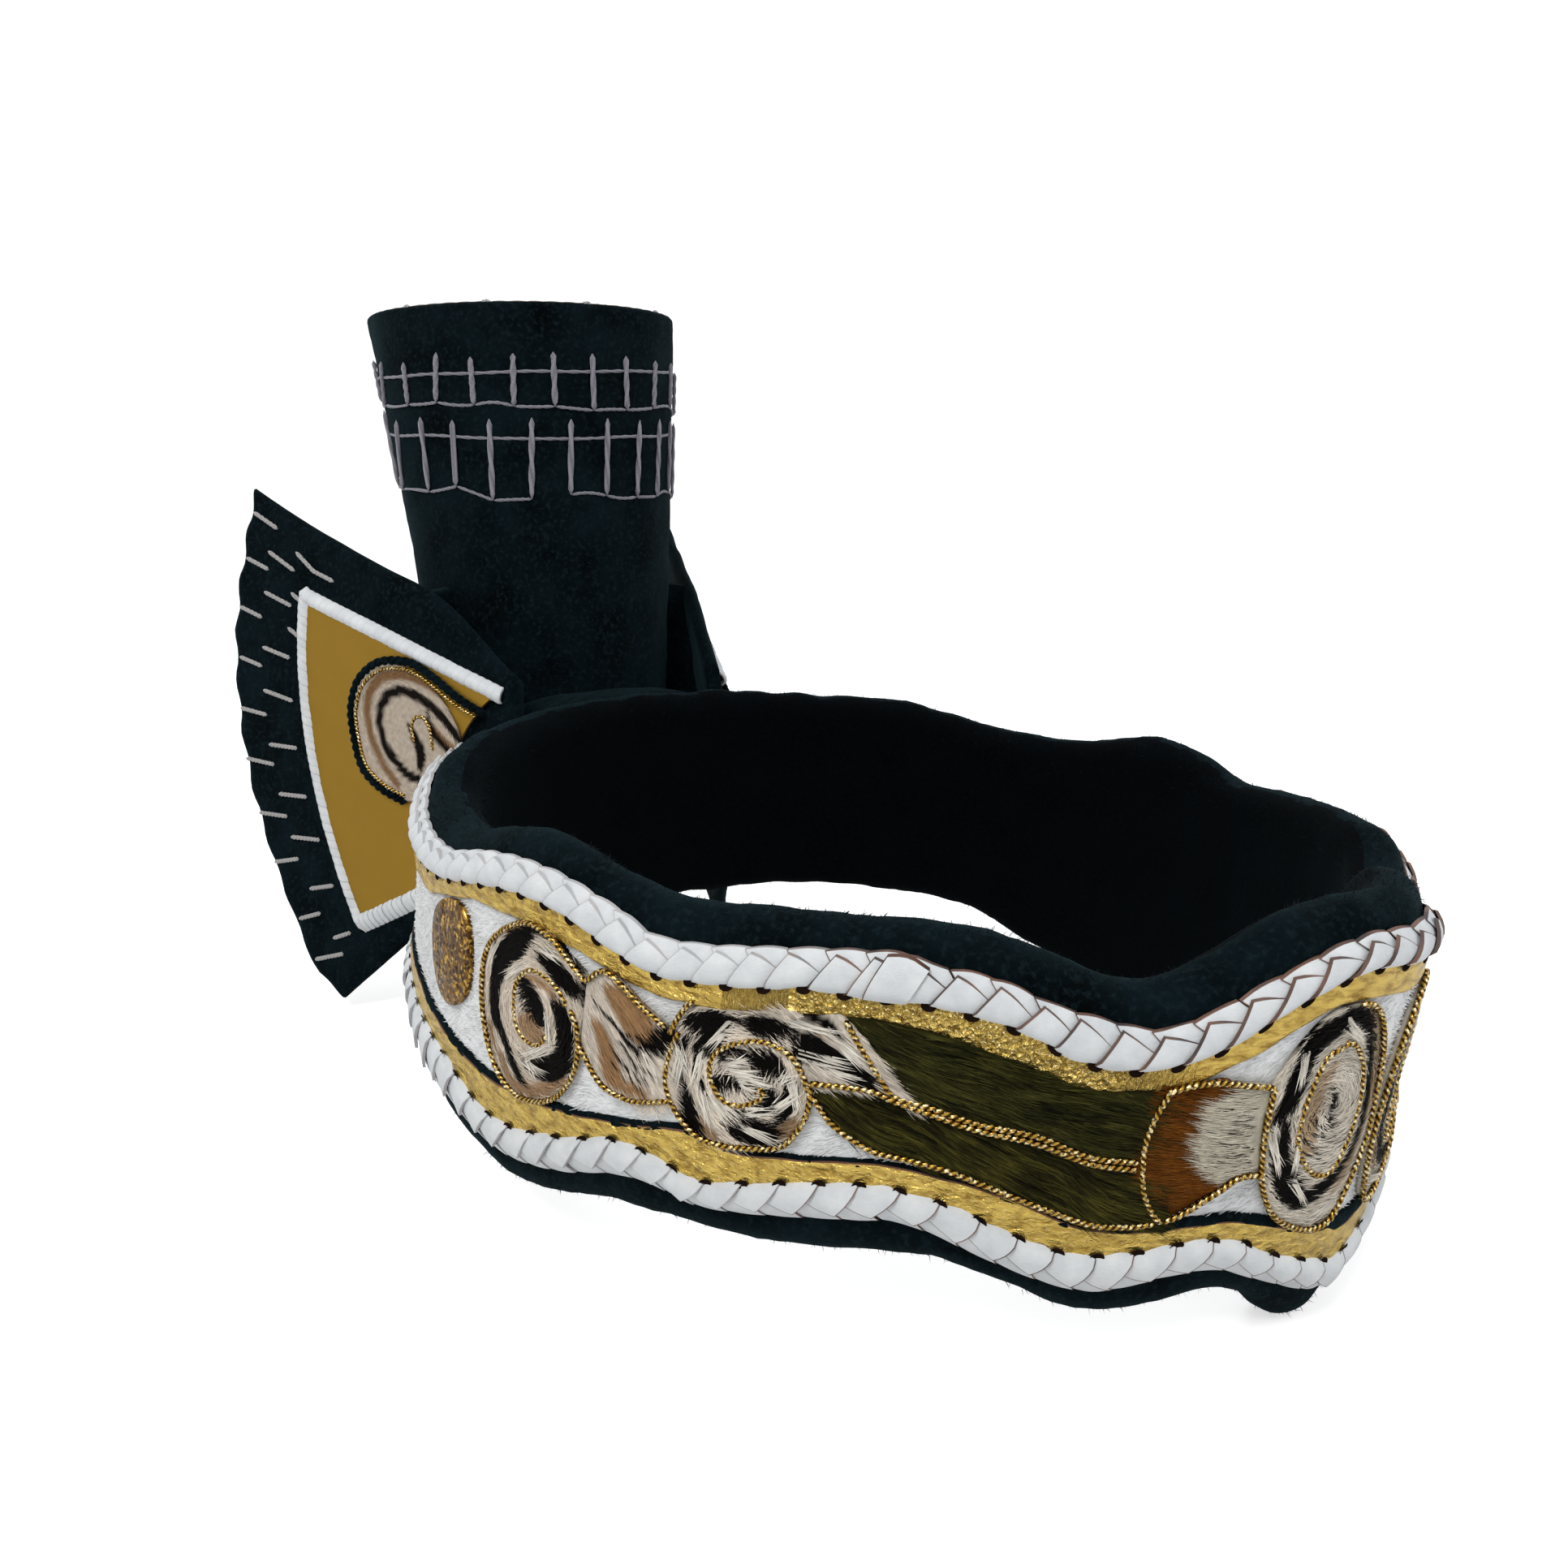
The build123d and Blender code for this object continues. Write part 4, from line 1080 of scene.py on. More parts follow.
# Dark markings of the striped furs, read off the photo: x, y and width in its pixels
darkMarks = {
    "scroll_a": (((656, 1146, 10), (641, 1160, 28), (626, 1171, 28), (618, 1190, 25), (612, 1215, 20),
        (611, 1240, 20), (616, 1262, 18), (626, 1285, 13), (633, 1305, 13), (641, 1325, 13), (651, 1338, 5)),
        ((658, 1146, 7), (680, 1155, 7), (700, 1175, 7), (712, 1190, 7), (717, 1212, 8)), ((666, 1179, 10),
        (682, 1190, 22), (698, 1208, 22), (716, 1222, 16), (736, 1237, 5)), ((644, 1210, 14), (654, 1225, 30),
        (660, 1240, 30), (668, 1252, 20), (677, 1262, 5)), ((690, 1240, 20), (697, 1265, 22), (698, 1290, 24),
        (693, 1308, 26), (675, 1317, 26), (656, 1312, 16), (646, 1305, 5))),
    "scroll_b": (((838, 1263, 4), (850, 1263, 14), (866, 1262, 24), (885, 1257, 14), (902, 1255, 5)),
        ((880, 1264, 28), (874, 1284, 20), (868, 1300, 7)), ((910, 1256, 4), (930, 1262, 18), (950, 1266, 20),
        (968, 1266, 12), (980, 1264, 3)), ((978, 1280, 10), (996, 1288, 24), (1015, 1298, 24)),
        ((966, 1291, 6), (985, 1300, 12), (1000, 1306, 8)), ((846, 1282, 8), (836, 1308, 11), (839, 1335, 15),
        (846, 1360, 21), (855, 1385, 19), (869, 1403, 8)), ((859, 1288, 9), (858, 1320, 4)), ((865, 1330, 6),
        (873, 1354, 5)), ((925, 1298, 8), (940, 1305, 24), (955, 1315, 21), (963, 1326, 6)), ((888, 1303, 10),
        (905, 1296, 13), (919, 1298, 6)), ((886, 1320, 5), (888, 1332, 17), (905, 1336, 14), (932, 1333, 5)),
        ((952, 1349, 16), (940, 1362, 15), (922, 1371, 9), (904, 1373, 3)), ((977, 1340, 14), (971, 1360, 15),
        (960, 1380, 10)), ((896, 1384, 8), (915, 1392, 22), (940, 1396, 27), (957, 1397, 16),
        (967, 1396, 4))),
    "scroll_c": (((1657, 1262, 14), (1635, 1272, 22), (1615, 1290, 22), (1603, 1315, 18), (1595, 1340, 20),
        (1583, 1365, 18), (1571, 1387, 9)), ((1583, 1388, 9), (1580, 1415, 15), (1580, 1440, 22),
        (1590, 1465, 26), (1601, 1482, 14)), ((1600, 1478, 14), (1620, 1468, 19), (1641, 1448, 15),
        (1656, 1425, 11), (1668, 1400, 10), (1677, 1370, 10), (1684, 1340, 9), (1686, 1310, 9),
        (1687, 1280, 11), (1682, 1258, 17), (1666, 1248, 15), (1651, 1254, 8)), ((1640, 1338, 4),
        (1641, 1360, 9), (1636, 1388, 4))),
    "link_fur": (((738, 1238, 4), (760, 1262, 4), (775, 1282, 6), (788, 1297, 7)), ((776, 1276, 4),
        (792, 1278, 4)), ((794, 1294, 12), (812, 1284, 20), (834, 1276, 22)), ((788, 1302, 4), (800, 1296, 6),
        (820, 1296, 8)), ((756, 1290, 3), (760, 1297, 3)), ((766, 1282, 3), (770, 1290, 4)), ((764, 1303, 4),
        (768, 1310, 4)), ((776, 1296, 4), (780, 1304, 4)), ((774, 1314, 4), (777, 1321, 3)), ((784, 1310, 4),
        (788, 1318, 4)), ((786, 1324, 4), (789, 1331, 3)), ((794, 1316, 4), (798, 1323, 3)), ((796, 1330, 4),
        (800, 1337, 3)), ((780, 1330, 3), (783, 1337, 3)), ((804, 1322, 3), (808, 1330, 3)), ((768, 1322, 3),
        (771, 1329, 3)), ((790, 1340, 3), (793, 1346, 3)), ((757, 1308, 3), (760, 1314, 3))),
    "leaf_fur": (((978, 1280, 10), (996, 1288, 24), (1015, 1298, 24), (1036, 1307, 15), (1060, 1320, 11),
        (1080, 1334, 9)), ((984, 1252, 5), (1005, 1255, 8), (1022, 1263, 9), (1036, 1277, 4)),
        ((966, 1291, 6), (985, 1300, 12), (1010, 1308, 7), (1042, 1317, 3)), ((1034, 1321, 4),
        (1055, 1328, 14), (1080, 1336, 8))),
}
tanMarks = {
    "scroll_a": (((650, 1262, 22), (661, 1270, 28), (672, 1277, 14)), ((618, 1300, 10), (636, 1338, 14),
        (668, 1343, 16), (696, 1330, 10)), ((606, 1262, 8), (610, 1290, 9)), ((624, 1148, 12),
        (644, 1142, 12)), ((650, 1203, 8), (672, 1212, 9), (690, 1232, 6))),
    "scroll_b": (((868, 1392, 16), (884, 1402, 12)), ((970, 1388, 20), (985, 1378, 10))),
    "scroll_c": (((1641, 1310, 8), (1622, 1345, 14), (1612, 1380, 17), (1608, 1415, 15)), ((1691, 1243, 10),
        (1696, 1290, 10), (1691, 1330, 10), (1676, 1385, 8), (1656, 1440, 10), (1641, 1465, 8)),
        ((1566, 1375, 8), (1562, 1400, 5))),
    "link_fur": (((752, 1222, 12), (775, 1240, 34), (788, 1262, 36)), ((738, 1262, 12), (748, 1285, 18),
        (757, 1325, 26)), ((772, 1340, 16), (796, 1348, 10))),
    "leaf_fur": (((972, 1286, 12), (1010, 1282, 12)),),
}
# Long pale hairs that lie over the marks, each lock from its root to its tip
longLocks = {
    "scroll_a": (((655, 1183), (626, 1203)), ((640, 1302), (676, 1320)), ((690, 1284), (648, 1302)),
        ((650, 1300), (664, 1322)), ((676, 1238), (684, 1292)), ((668, 1167), (694, 1182)), ((612, 1160),
        (608, 1192))),
    "scroll_b": (((890, 1317), (938, 1321)), ((894, 1318), (956, 1336)), ((889, 1311), (926, 1303)),
        ((862, 1330), (882, 1388)), ((868, 1338), (904, 1385)), ((875, 1350), (918, 1378)), ((848, 1326),
        (837, 1282)), ((869, 1286), (859, 1338)), ((905, 1369), (958, 1367)), ((948, 1370), (983, 1344)),
        ((974, 1326), (990, 1370)), ((904, 1382), (958, 1406)), ((957, 1336), (976, 1316)), ((900, 1262),
        (876, 1290)), ((832, 1340), (846, 1290)), ((906, 1333), (935, 1338))),
    "leaf_fur": (((975, 1262), (1038, 1270)), ((990, 1299), (1056, 1313)), ((1000, 1314), (1062, 1325)),
        ((1024, 1276), (1070, 1312))),
    "scroll_c": (((1602, 1392), (1588, 1442)), ((1588, 1448), (1602, 1478)), ((1660, 1260), (1674, 1282)),
        ((1564, 1398), (1570, 1444)), ((1640, 1478), (1606, 1494)), ((1610, 1300), (1596, 1338))),
    "link_fur": (((798, 1300), (818, 1330)), ((790, 1290), (812, 1318))),
}
# Where short dark flecks gather: a middle in the photo's pixels and a reach in millimetres
fleckSpots = {"cream_fur": ((1532, 1404), 5.5), "scroll_c": ((1612, 1402), 6.0)}
furStyles = {
    "scroll_a": {"slot": "striped_fur", "comb": "round", "centre": (660, 1250), "length": 3.4, "width": 0.16,
        "perMm": 11, "base": "#e2d6c6", "dark": "#070504", "tan": "#a98a6a", "lock": 0.45, "uneven": 0.18},
    "scroll_b": {"slot": "striped_fur", "comb": "round", "centre": (922, 1330), "length": 4.4, "width": 0.17,
        "perMm": 12, "base": "#ddd2c3", "dark": "#070504", "tan": "#9d8163", "lock": 0.5, "uneven": 0.3},
    "scroll_c": {"slot": "striped_fur", "comb": "round", "centre": (1637, 1365), "length": 3.4, "width": 0.16,
        "perMm": 10, "base": "#ded6c8", "dark": "#070504", "tan": "#b39a7c", "lock": 0.4, "uneven": 0.18},
    "link_fur": {"slot": "tan_fur", "comb": -38.0, "length": 3.2, "width": 0.14, "perMm": 14,
        "base": "#ddd2c4", "dark": "#070504", "tan": "#a5805a", "lock": 0.4, "uneven": 0.15},
    "leaf_fur": {"slot": "striped_fur", "comb": -24.0, "length": 4.2, "width": 0.15, "perMm": 13,
        "base": "#dad0c2", "dark": "#070504", "tan": "#a08669", "lock": 0.45, "uneven": 0.3},
    "green_upper": {"slot": "olive_fur", "comb": -9.0, "length": 5.0, "width": 0.17, "perMm": 10,
        "base": "#2f2e11", "dark": "#090904", "lock": 0.42, "uneven": 0.75},
    "green_lower": {"slot": "olive_fur", "comb": -20.0, "length": 5.0, "width": 0.17, "perMm": 10,
        "base": "#353211", "dark": "#090904", "lock": 0.42, "uneven": 0.75},
    "rust_fur": {"slot": "rust_fur", "comb": 172.0, "length": 3.4, "width": 0.14, "perMm": 14,
        "base": "#70400f", "dark": "#452507", "lock": 0.35, "uneven": 0.3},
    "cream_fur": {"slot": "cream_fur", "comb": 176.0, "length": 4.4, "width": 0.14, "perMm": 15,
        "base": "#cfc8b6", "dark": "#3b3128", "lock": 0.35, "uneven": 0.12},
}


# Where cream fur starts over the rust fur, in photo pixels
rustEdge = (
    (1514, 1341), (1500, 1352), (1486, 1362), (1478, 1375), (1470, 1390), (1463, 1410), (1461, 1430),
    (1468, 1441), (1478, 1451), (1488, 1463), (1493, 1478))


# Places of the flat map measured along and across the way a fur piece is combed
def combPlace(style, places):
    if style["comb"] == "round":
        spoke = places - photoMap([style["centre"]])[0]
        far = np.linalg.norm(spoke, axis=1)
        return np.arctan2(spoke[:, 1], spoke[:, 0]) * far, far
    turn = math.radians(style["comb"])
    c, s = math.cos(turn), math.sin(turn)
    return places @ np.array([c, s]), places @ np.array([-s, c])


# Tone of each lock of hair: a value for each step across the comb, drawn anew every few millimetres along it
lockLook = {"seed": 66, "draws": 4099, "wander": 0.5, "long": 9.0, "stagger": 3.0}


def lockTone(style, places):
    along, across = combPlace(style, places)
    count = lockLook["draws"]
    draws = np.random.default_rng(lockLook["seed"]).uniform(-1, 1, count)
    lock = np.floor((across + lockLook["wander"] * lumps(places, 8.0, 67)) / style["lock"]).astype(int)
    piece = np.floor(along / lockLook["long"] + lockLook["stagger"] * draws[lock % count]).astype(int)
    return 1 + style["uneven"] * draws[(lock * 131 + piece * 17) % count]


# Colours of a fur piece at places of the flat map: its base, tan marks, locks, then dark marks
def furTint(name, places, draw, soft):
    style = furStyles[name]
    dark = colour(style["dark"])
    tint = np.broadcast_to(colour(style["base"]), (len(places), 3)).copy()
    if name in tanMarks:
        tint = blend(tint, colour(style["tan"]), strokeMask(places, tanMarks[name], soft * 3.0))
    if name in ("green_upper", "green_lower"):
        tint = blend(tint, dark, 0.6 * np.clip(0.4 + 0.7 * lumps(places, 8.0, 55), 0, 1)[:, None])
    elif name in ("rust_fur", "cream_fur"):
        rust, deep = (colour(furStyles["rust_fur"][key]) for key in ("base", "dark"))
        tint = blend(rust, deep, 0.5 * np.clip(0.4 + 0.6 * lumps(places, 5.0, 57), 0, 1)[:, None])
        edge = photoMap(rustEdge)
        edge = edge[np.argsort(edge[:, 1])]
        past = places[:, 0] - np.interp(places[:, 1], edge[:, 1], edge[:, 0]) - (2.6 if soft < 0.4 else 1.0)
        ragged = 0.8 * lumps(places, 1.6, 59) + draw.normal(0, 0.5, len(places))
        cream = colour(furStyles["cream_fur"]["base"])
        tint = blend(tint, cream, np.clip(past / 0.8 + ragged, 0, 1)[:, None])
    tint = tint * lockTone(style, places)[:, None]
    if name in darkMarks:
        tint = blend(tint, dark, strokeMask(places, darkMarks[name], soft))
    return tint


# Comb direction of a fur piece on the flat map, as unit steps
def furComb(style, places, draw):
    count = len(places)
    if style["comb"] == "round":
        spoke = unit(places - photoMap([style["centre"]])[0], 1e-6)
        angle = np.arctan2(spoke[:, 0], -spoke[:, 1]) + 0.22 * draw.normal(size=count) + 0.18
    else:
        angle = np.radians(style["comb"]) + 0.08 * draw.normal(size=count) + 0.3 * lumps(places, 16.0, 58)
    return np.stack([np.cos(angle), np.sin(angle)], -1)


# One fur piece: a low crowned skin with hair combed over it
furLook = {"seat": 1.45, "edge": 0.75, "crown": 0.5, "hairSeat": 0.7, "perLock": 12, "lockTone": "#e6e0d4",
           "fleck": "#17110c"}


def makeFurPiece(name, side, label):
    style = furStyles[name]
    seat = furLook["seat"]
    draw = np.random.default_rng(100 + sorted(furStyles).index(name) * 2 + (side > 0))
    grid, rim = furGrid(name, 16, 49)
    deg, level = grid[..., 0], grid[..., 1]
    front = ringPoint(side * deg, seat + (furLook["edge"] + furLook["crown"] * (1 - rim ** 4)), level)
    back = ringPoint(side * deg, np.full(deg.shape, seat), level)
    flat = flatMap(deg, level)
    tint = furTint(name, flat.reshape(-1, 2), draw, 0.5) * 0.8
    piece = name + "_" + label
    addSlab(piece + "_skin", front, back, furSkin, style["slot"], [piece], tint=np.concatenate([tint, tint]))

    across, up = flat[1:, :-1] - flat[:-1, :-1], flat[:-1, 1:] - flat[:-1, :-1]
    area = abs(np.sum(across[..., 0] * up[..., 1] - across[..., 1] * up[..., 0]))
    count = int(area * style["perMm"])
    spot, rimAt = furPlaces(name, count, draw)
    level = spot[:, 1]
    places = flatMap(spot[:, 0], level)
    comb = furComb(style, places, draw)
    run, away = ringPlan(side * spot[:, 0])[1:]
    way = -side * run * comb[:, :1]
    way[:, 2] = comb[:, 1]
    length = style["length"] * draw.uniform(0.55, 1.35, count)
    width = style["width"] * draw.uniform(0.6, 1.4, count)
    seen = places + comb * (length * 0.6 + draw.normal(0, 0.4, count))[:, None]
    streak = draw.uniform(*((0.35, 1.9) if name.startswith("green") else (0.85, 1.15)), (count, 1))
    tint = furTint(name, places if name in ("rust_fur", "cream_fur") else seen, draw, 0.25) * streak
    if name in roundFurs:
        length *= 1 - 0.45 * rimAt ** 6
    rise = draw.uniform(0.3, 1.0, count)
    out = seat + furLook["hairSeat"] + furLook["crown"] * (1 - rimAt ** 4)
    foot = ringPoint(side * spot[:, 0], out, level)

    # Long locks lie over the rest, each of a few hairs
    few = furLook["perLock"]
    for lock in longLocks.get(name, ()):
        (degA, levelA), (degB, levelB) = photoToPanel(lock)
        root = ringPoint(side * degA + draw.normal(0, 0.3, few), 2.6, levelA + draw.normal(0, 0.5, few))
        tip = ringPoint(side * degB + draw.normal(0, 0.35, few), 3.2, levelB + draw.normal(0, 0.6, few))
        reach = np.linalg.norm(tip - root, axis=1)
        foot, way = np.concatenate([foot, root]), np.concatenate([way, (tip - root) / reach[:, None]])
        away = np.concatenate([away, ringPlan(np.full(few, side * degA))[2]])
        length = np.concatenate([length, reach])
        width = np.concatenate([width, draw.uniform(0.18, 0.42, few)])
        rise = np.concatenate([rise, draw.uniform(0.5, 0.9, few)])
        tint = np.concatenate([tint, colour(furLook["lockTone"]) * draw.uniform(0.75, 1.1, (few, 1))])
    fall = rise * draw.uniform(0.4, 1.0, len(foot))
    tones = hairTones(tint, 0.6, 1.15)
    if name in fleckSpots:
        # Dark tips gather near one spot
        middle, reach = fleckSpots[name]
        near = np.exp(-(np.linalg.norm(seen - photoMap([middle])[0], axis=1) / reach) ** 2)
        flecked = draw.random(len(seen)) < 0.75 * near * (lumps(seen, 1.5, 63) > 0.05)
        tones[np.flatnonzero(flecked), 2:] = colour(furLook["fleck"])
    addHairs(piece + "_hair", style["slot"], hairRibbons(foot, way, away, length, width, rise, fall), tones)


# Glitter oval, a low pad with a bumpy skin
def makeGoldOval(side, label):
    look = {"edge": 0.9, "crown": 0.4, "bumps": 0.09, "rim": 0.97}
    grid, rim = furGrid("gold_oval", 22, 65)
    deg, level = grid[..., 0], grid[..., 1]
    seat = furLook["seat"]
    front = ringPoint(side * deg, seat + look["edge"] + look["crown"] * (1 - rim ** 4), level)
    bumps = look["bumps"] * lumps(front, 1.1, 61) * (rim < look["rim"])
    front = front + ringPlan(side * deg)[2] * bumps[..., None]
    back = ringPoint(side * deg, np.full(deg.shape, seat), level)
    addSlab("gold_oval_" + label + "_glitter", front, back, glitter, "gold_glitter", ["gold_oval_" + label])


# True where places (degrees, level) lie inside an outline, by counting the sides that they look across
def inside(places, outline):
    x, y = places[:, :1], places[:, 1:]
    a, b = outline[None], np.roll(outline, -1, 0)[None]
    crosses = (a[..., 1] > y) != (b[..., 1] > y)
    at = a[..., 0] + (y - a[..., 1]) * (b[..., 0] - a[..., 0]) / (b[..., 1] - a[..., 1] + 1e-12)
    return ((crosses & (x < at)).sum(1) % 2).astype(bool)


# White fur of the ground, left out where a fur piece covers it
def makeGroundFur():
    look = {"count": 42000, "length": 2.4, "width": 0.16, "seed": 71, "comb": 200, "out": 1.3,
            "overlap": 0.98, "colour": "#f0f2f3"}
    draw = np.random.default_rng(look["seed"])
    count = look["count"]
    deg = degAt(draw.uniform(runAt(-panel["end"]) + 1, runAt(panel["end"]) - 1, count))
    low, high = borderLevel("goldHigh", deg), borderLevel("goldLow", deg)
    spot = np.stack([np.abs(deg), low + (high - low) * draw.uniform(0.0, 1.0, count)], -1)
    covered = np.zeros(count, bool)
    for rows in roundFurs.values():
        outline = panelLine(rows, 60, True)[:-1]
        middle = outline.mean(0)
        covered |= inside(spot, middle + (outline - middle) * look["overlap"])
    for low, high in stripFurs.values():
        covered |= inside(spot, np.concatenate([panelLine(low, 30), panelLine(high, 30)[::-1]]))
    keep = ~covered & (spot[:, 1] > darkStripTop(deg) + draw.uniform(-0.1, 0.4, count))
    deg, level = deg[keep], spot[keep, 1]
    count = len(deg)
    places = flatMap(np.abs(deg), level)
    angle = math.radians(look["comb"]) + 0.5 * lumps(places, 18.0, 72) + 0.2 * draw.normal(size=count)
    run, away = ringPlan(deg)[1:]
    way = -np.sign(deg)[:, None] * run * np.cos(angle)[:, None]
    way[:, 2] = np.sin(angle)
    length = look["length"] * draw.uniform(0.5, 1.3, count)
    rise = draw.uniform(0.3, 1.1, count)
    ribbons = hairRibbons(ringPoint(deg, look["out"], level), way, away, length,
                          look["width"] * draw.uniform(0.6, 1.3, count), rise,
                          rise * draw.uniform(0.3, 0.9, count))
    tone = colour(look["colour"]) * draw.uniform(0.82, 1.08, count)[:, None]
    addHairs("panel_white_fur", "white_hide", ribbons, hairTones(tone, 0.88))


# Gold cords on the panel, as the photo shows them, in its pixels
cordLines = {
    "aOuter": ((722, 1209), (700, 1180), (680, 1155), (653, 1137), (630, 1141), (612, 1153), (602, 1170),
        (597, 1192), (596, 1233), (602, 1278), (615, 1319), (637, 1348), (666, 1357), (691, 1348),
        (709, 1319), (714, 1287), (710, 1259), (704, 1243)),
    "aInner": ((700, 1240), (692, 1222), (675, 1204), (656, 1195), (640, 1208), (636, 1233), (639, 1262),
        (650, 1281), (666, 1287), (675, 1275)),
    "linkUpper": ((722, 1209), (745, 1196), (768, 1214), (792, 1240), (822, 1265)),
    "linkLower": ((712, 1285), (720, 1297), (742, 1335), (774, 1354), (800, 1357), (826, 1356)),
    "bCross": ((856, 1232), (848, 1239), (838, 1252), (826, 1274)),
    "bOuter": ((838, 1270), (826, 1300), (822, 1335), (835, 1370), (860, 1399), (885, 1409), (911, 1413),
        (962, 1412), (988, 1386), (998, 1360), (998, 1334)),
    "bInner": ((1000, 1352), (994, 1335), (978, 1303), (946, 1284), (911, 1284), (883, 1297), (876, 1322),
        (889, 1351), (911, 1361), (937, 1354), (941, 1342), (930, 1345)),
    "leafUpper": ((1042, 1256), (1053, 1275), (1065, 1295), (1087, 1330), (1103, 1350), (1151, 1365),
        (1183, 1377), (1215, 1386), (1278, 1399), (1341, 1424), (1402, 1431)),
    "leafLower": ((998, 1334), (1039, 1338), (1077, 1344), (1103, 1356), (1151, 1373), (1183, 1385),
        (1215, 1394), (1278, 1408), (1341, 1432), (1400, 1440)),
    "greenLower": ((1001, 1349), (1023, 1381), (1055, 1406), (1081, 1419), (1119, 1428), (1167, 1441),
        (1215, 1460), (1278, 1485), (1341, 1507), (1389, 1510), (1421, 1506)),
    "greenRust": ((1443, 1340), (1439, 1348), (1424, 1373), (1411, 1405), (1407, 1437), (1408, 1469),
        (1421, 1498), (1431, 1504)),
    "rustUpper": ((1439, 1345), (1469, 1337), (1501, 1333), (1530, 1336), (1570, 1339)),
    "rustLower": ((1431, 1504), (1456, 1494), (1501, 1466), (1526, 1450), (1555, 1446)),
    "cOuter": ((1570, 1339), (1561, 1375), (1555, 1414), (1553, 1448), (1557, 1475), (1568, 1498),
        (1591, 1511), (1614, 1513), (1636, 1500), (1654, 1466), (1668, 1433), (1682, 1395), (1691, 1356),
        (1702, 1299), (1702, 1257), (1693, 1238), (1676, 1236)),
    "cInner": ((1654, 1288), (1633, 1303), (1614, 1341), (1601, 1379), (1597, 1406), (1603, 1429),
        (1618, 1446), (1637, 1440), (1656, 1406), (1672, 1356), (1677, 1318), (1672, 1292), (1662, 1284),
        (1654, 1288)),
}


def makeCords(side, label):
    look = {"radius": 0.56, "lay": 2.2, "height": 2.75, "step": 0.27}
    parts = []
    for pixels in cordLines.values():
        spot = photoToPanel(smoothLine(pixels, 10 * len(pixels)))
        line = evenLine(ringPoint(side * spot[:, 0], look["height"], spot[:, 1]), look["step"])
        parts.append(twistedCord(line, unit(line * np.array([1.0, 1.0, 0.0])), look["radius"], look["lay"]))
    addCords("gold_cords_" + label, parts, goldCord, "gold_leather")


# Feather tube: a hollow cone with a rolled rim. The share goes from its foot (0) to its rim (1)
tube = {"rimRadius": 42.2, "footRadius": 30.4, "wall": 2.0, "footLevel": -14.0, "rimLevel": 107.0,
        "footBack": 141.4, "lean": 0.3, "rimSlope": -0.14, "rimTilt": 0.04, "tiltWay": (0.754, 0.657),
        "floor": 0.0165, "rows": 70, "columns": 121, "capRows": 7, "yarnLay": 2.6}


def tubePoint(turn, share, out):
    turn, share, out = np.broadcast_arrays(turn, share, out)
    level = tube["footLevel"] + (tube["rimLevel"] - tube["footLevel"]) * share
    radius = np.maximum(tube["footRadius"] + (tube["rimRadius"] - tube["footRadius"]) * share + out, 0.0)
    depth = -radius * np.cos(turn)
    middle = tube["footBack"] + tube["lean"] * (level - tube["footLevel"])
    aside = radius * np.sin(turn) * tube["tiltWay"][0] - depth * tube["tiltWay"][1]
    level = level + tube["rimSlope"] * share * depth + tube["rimTilt"] * share ** 4 * aside
    return np.stack([radius * np.sin(turn), middle + depth, level], -1)


# The level way out from the tube's middle
def tubeAway(turn):
    return np.stack([np.sin(turn), -np.cos(turn), 0 * turn], -1)


# Stitch rows on the tube, in the photo's pixels: tops and feet of the stitches, the line across them and the
# gaps between feet that have no loop
stitchRows = (
    {"tops": ((470, 446), (497, 446), (537, 435), (579, 439), (632, 435), (682, 434), (730, 436), (771, 439),
    (807, 444), (826, 447)), "feet": ((475, 500), (503, 499), (538, 496), (584, 499), (633, 501), (684, 500),
    (732, 505), (772, 505), (805, 503), (825, 501)), "cross": ((466, 466), (500, 463), (537, 461), (584, 459),
    (632, 458), (700, 457), (760, 457), (806, 458), (828, 459)), "open": ()}, {"tops": ((489, 518),
    (518, 514), (557, 517), (603, 516), (655, 514), (704, 516), (748, 516), (788, 517), (812, 517),
    (825, 518)), "feet": ((497, 603), (529, 606), (562, 600), (608, 616), (656, 615), (703, 609), (747, 611),
    (785, 612), (809, 612), (823, 606)), "cross": ((487, 537), (520, 537), (560, 538), (606, 540), (655, 541),
    (704, 540), (750, 539), (790, 538), (826, 536)), "open": (4,)})


# Turn and share of the tube's near side at photo pixels: the nearest of many points on it
def photoToTube(pixels):
    grids = np.meshgrid(np.linspace(-np.pi, np.pi, 901), np.linspace(0.3, 1, 301))
    turn, share = (grid.reshape(-1) for grid in grids)
    points = tubePoint(turn, share, 0.5)
    eye = cameraAxes()[3]
    facing = (np.sin(turn) * (eye[0] - points[:, 0]) - np.cos(turn) * (eye[1] - points[:, 1])) > 0
    seen = worldToPhoto(points[facing])
    pick = [int(np.argmin(((seen - pixel) ** 2).sum(1))) for pixel in np.array(pixels, float)]
    return turn[facing][pick], share[facing][pick]


def yarnPart(turn, share, radius, out):
    return twistedCord(tubePoint(turn, share, out), tubeAway(turn), radius, tube["yarnLay"], 8, 0.75)


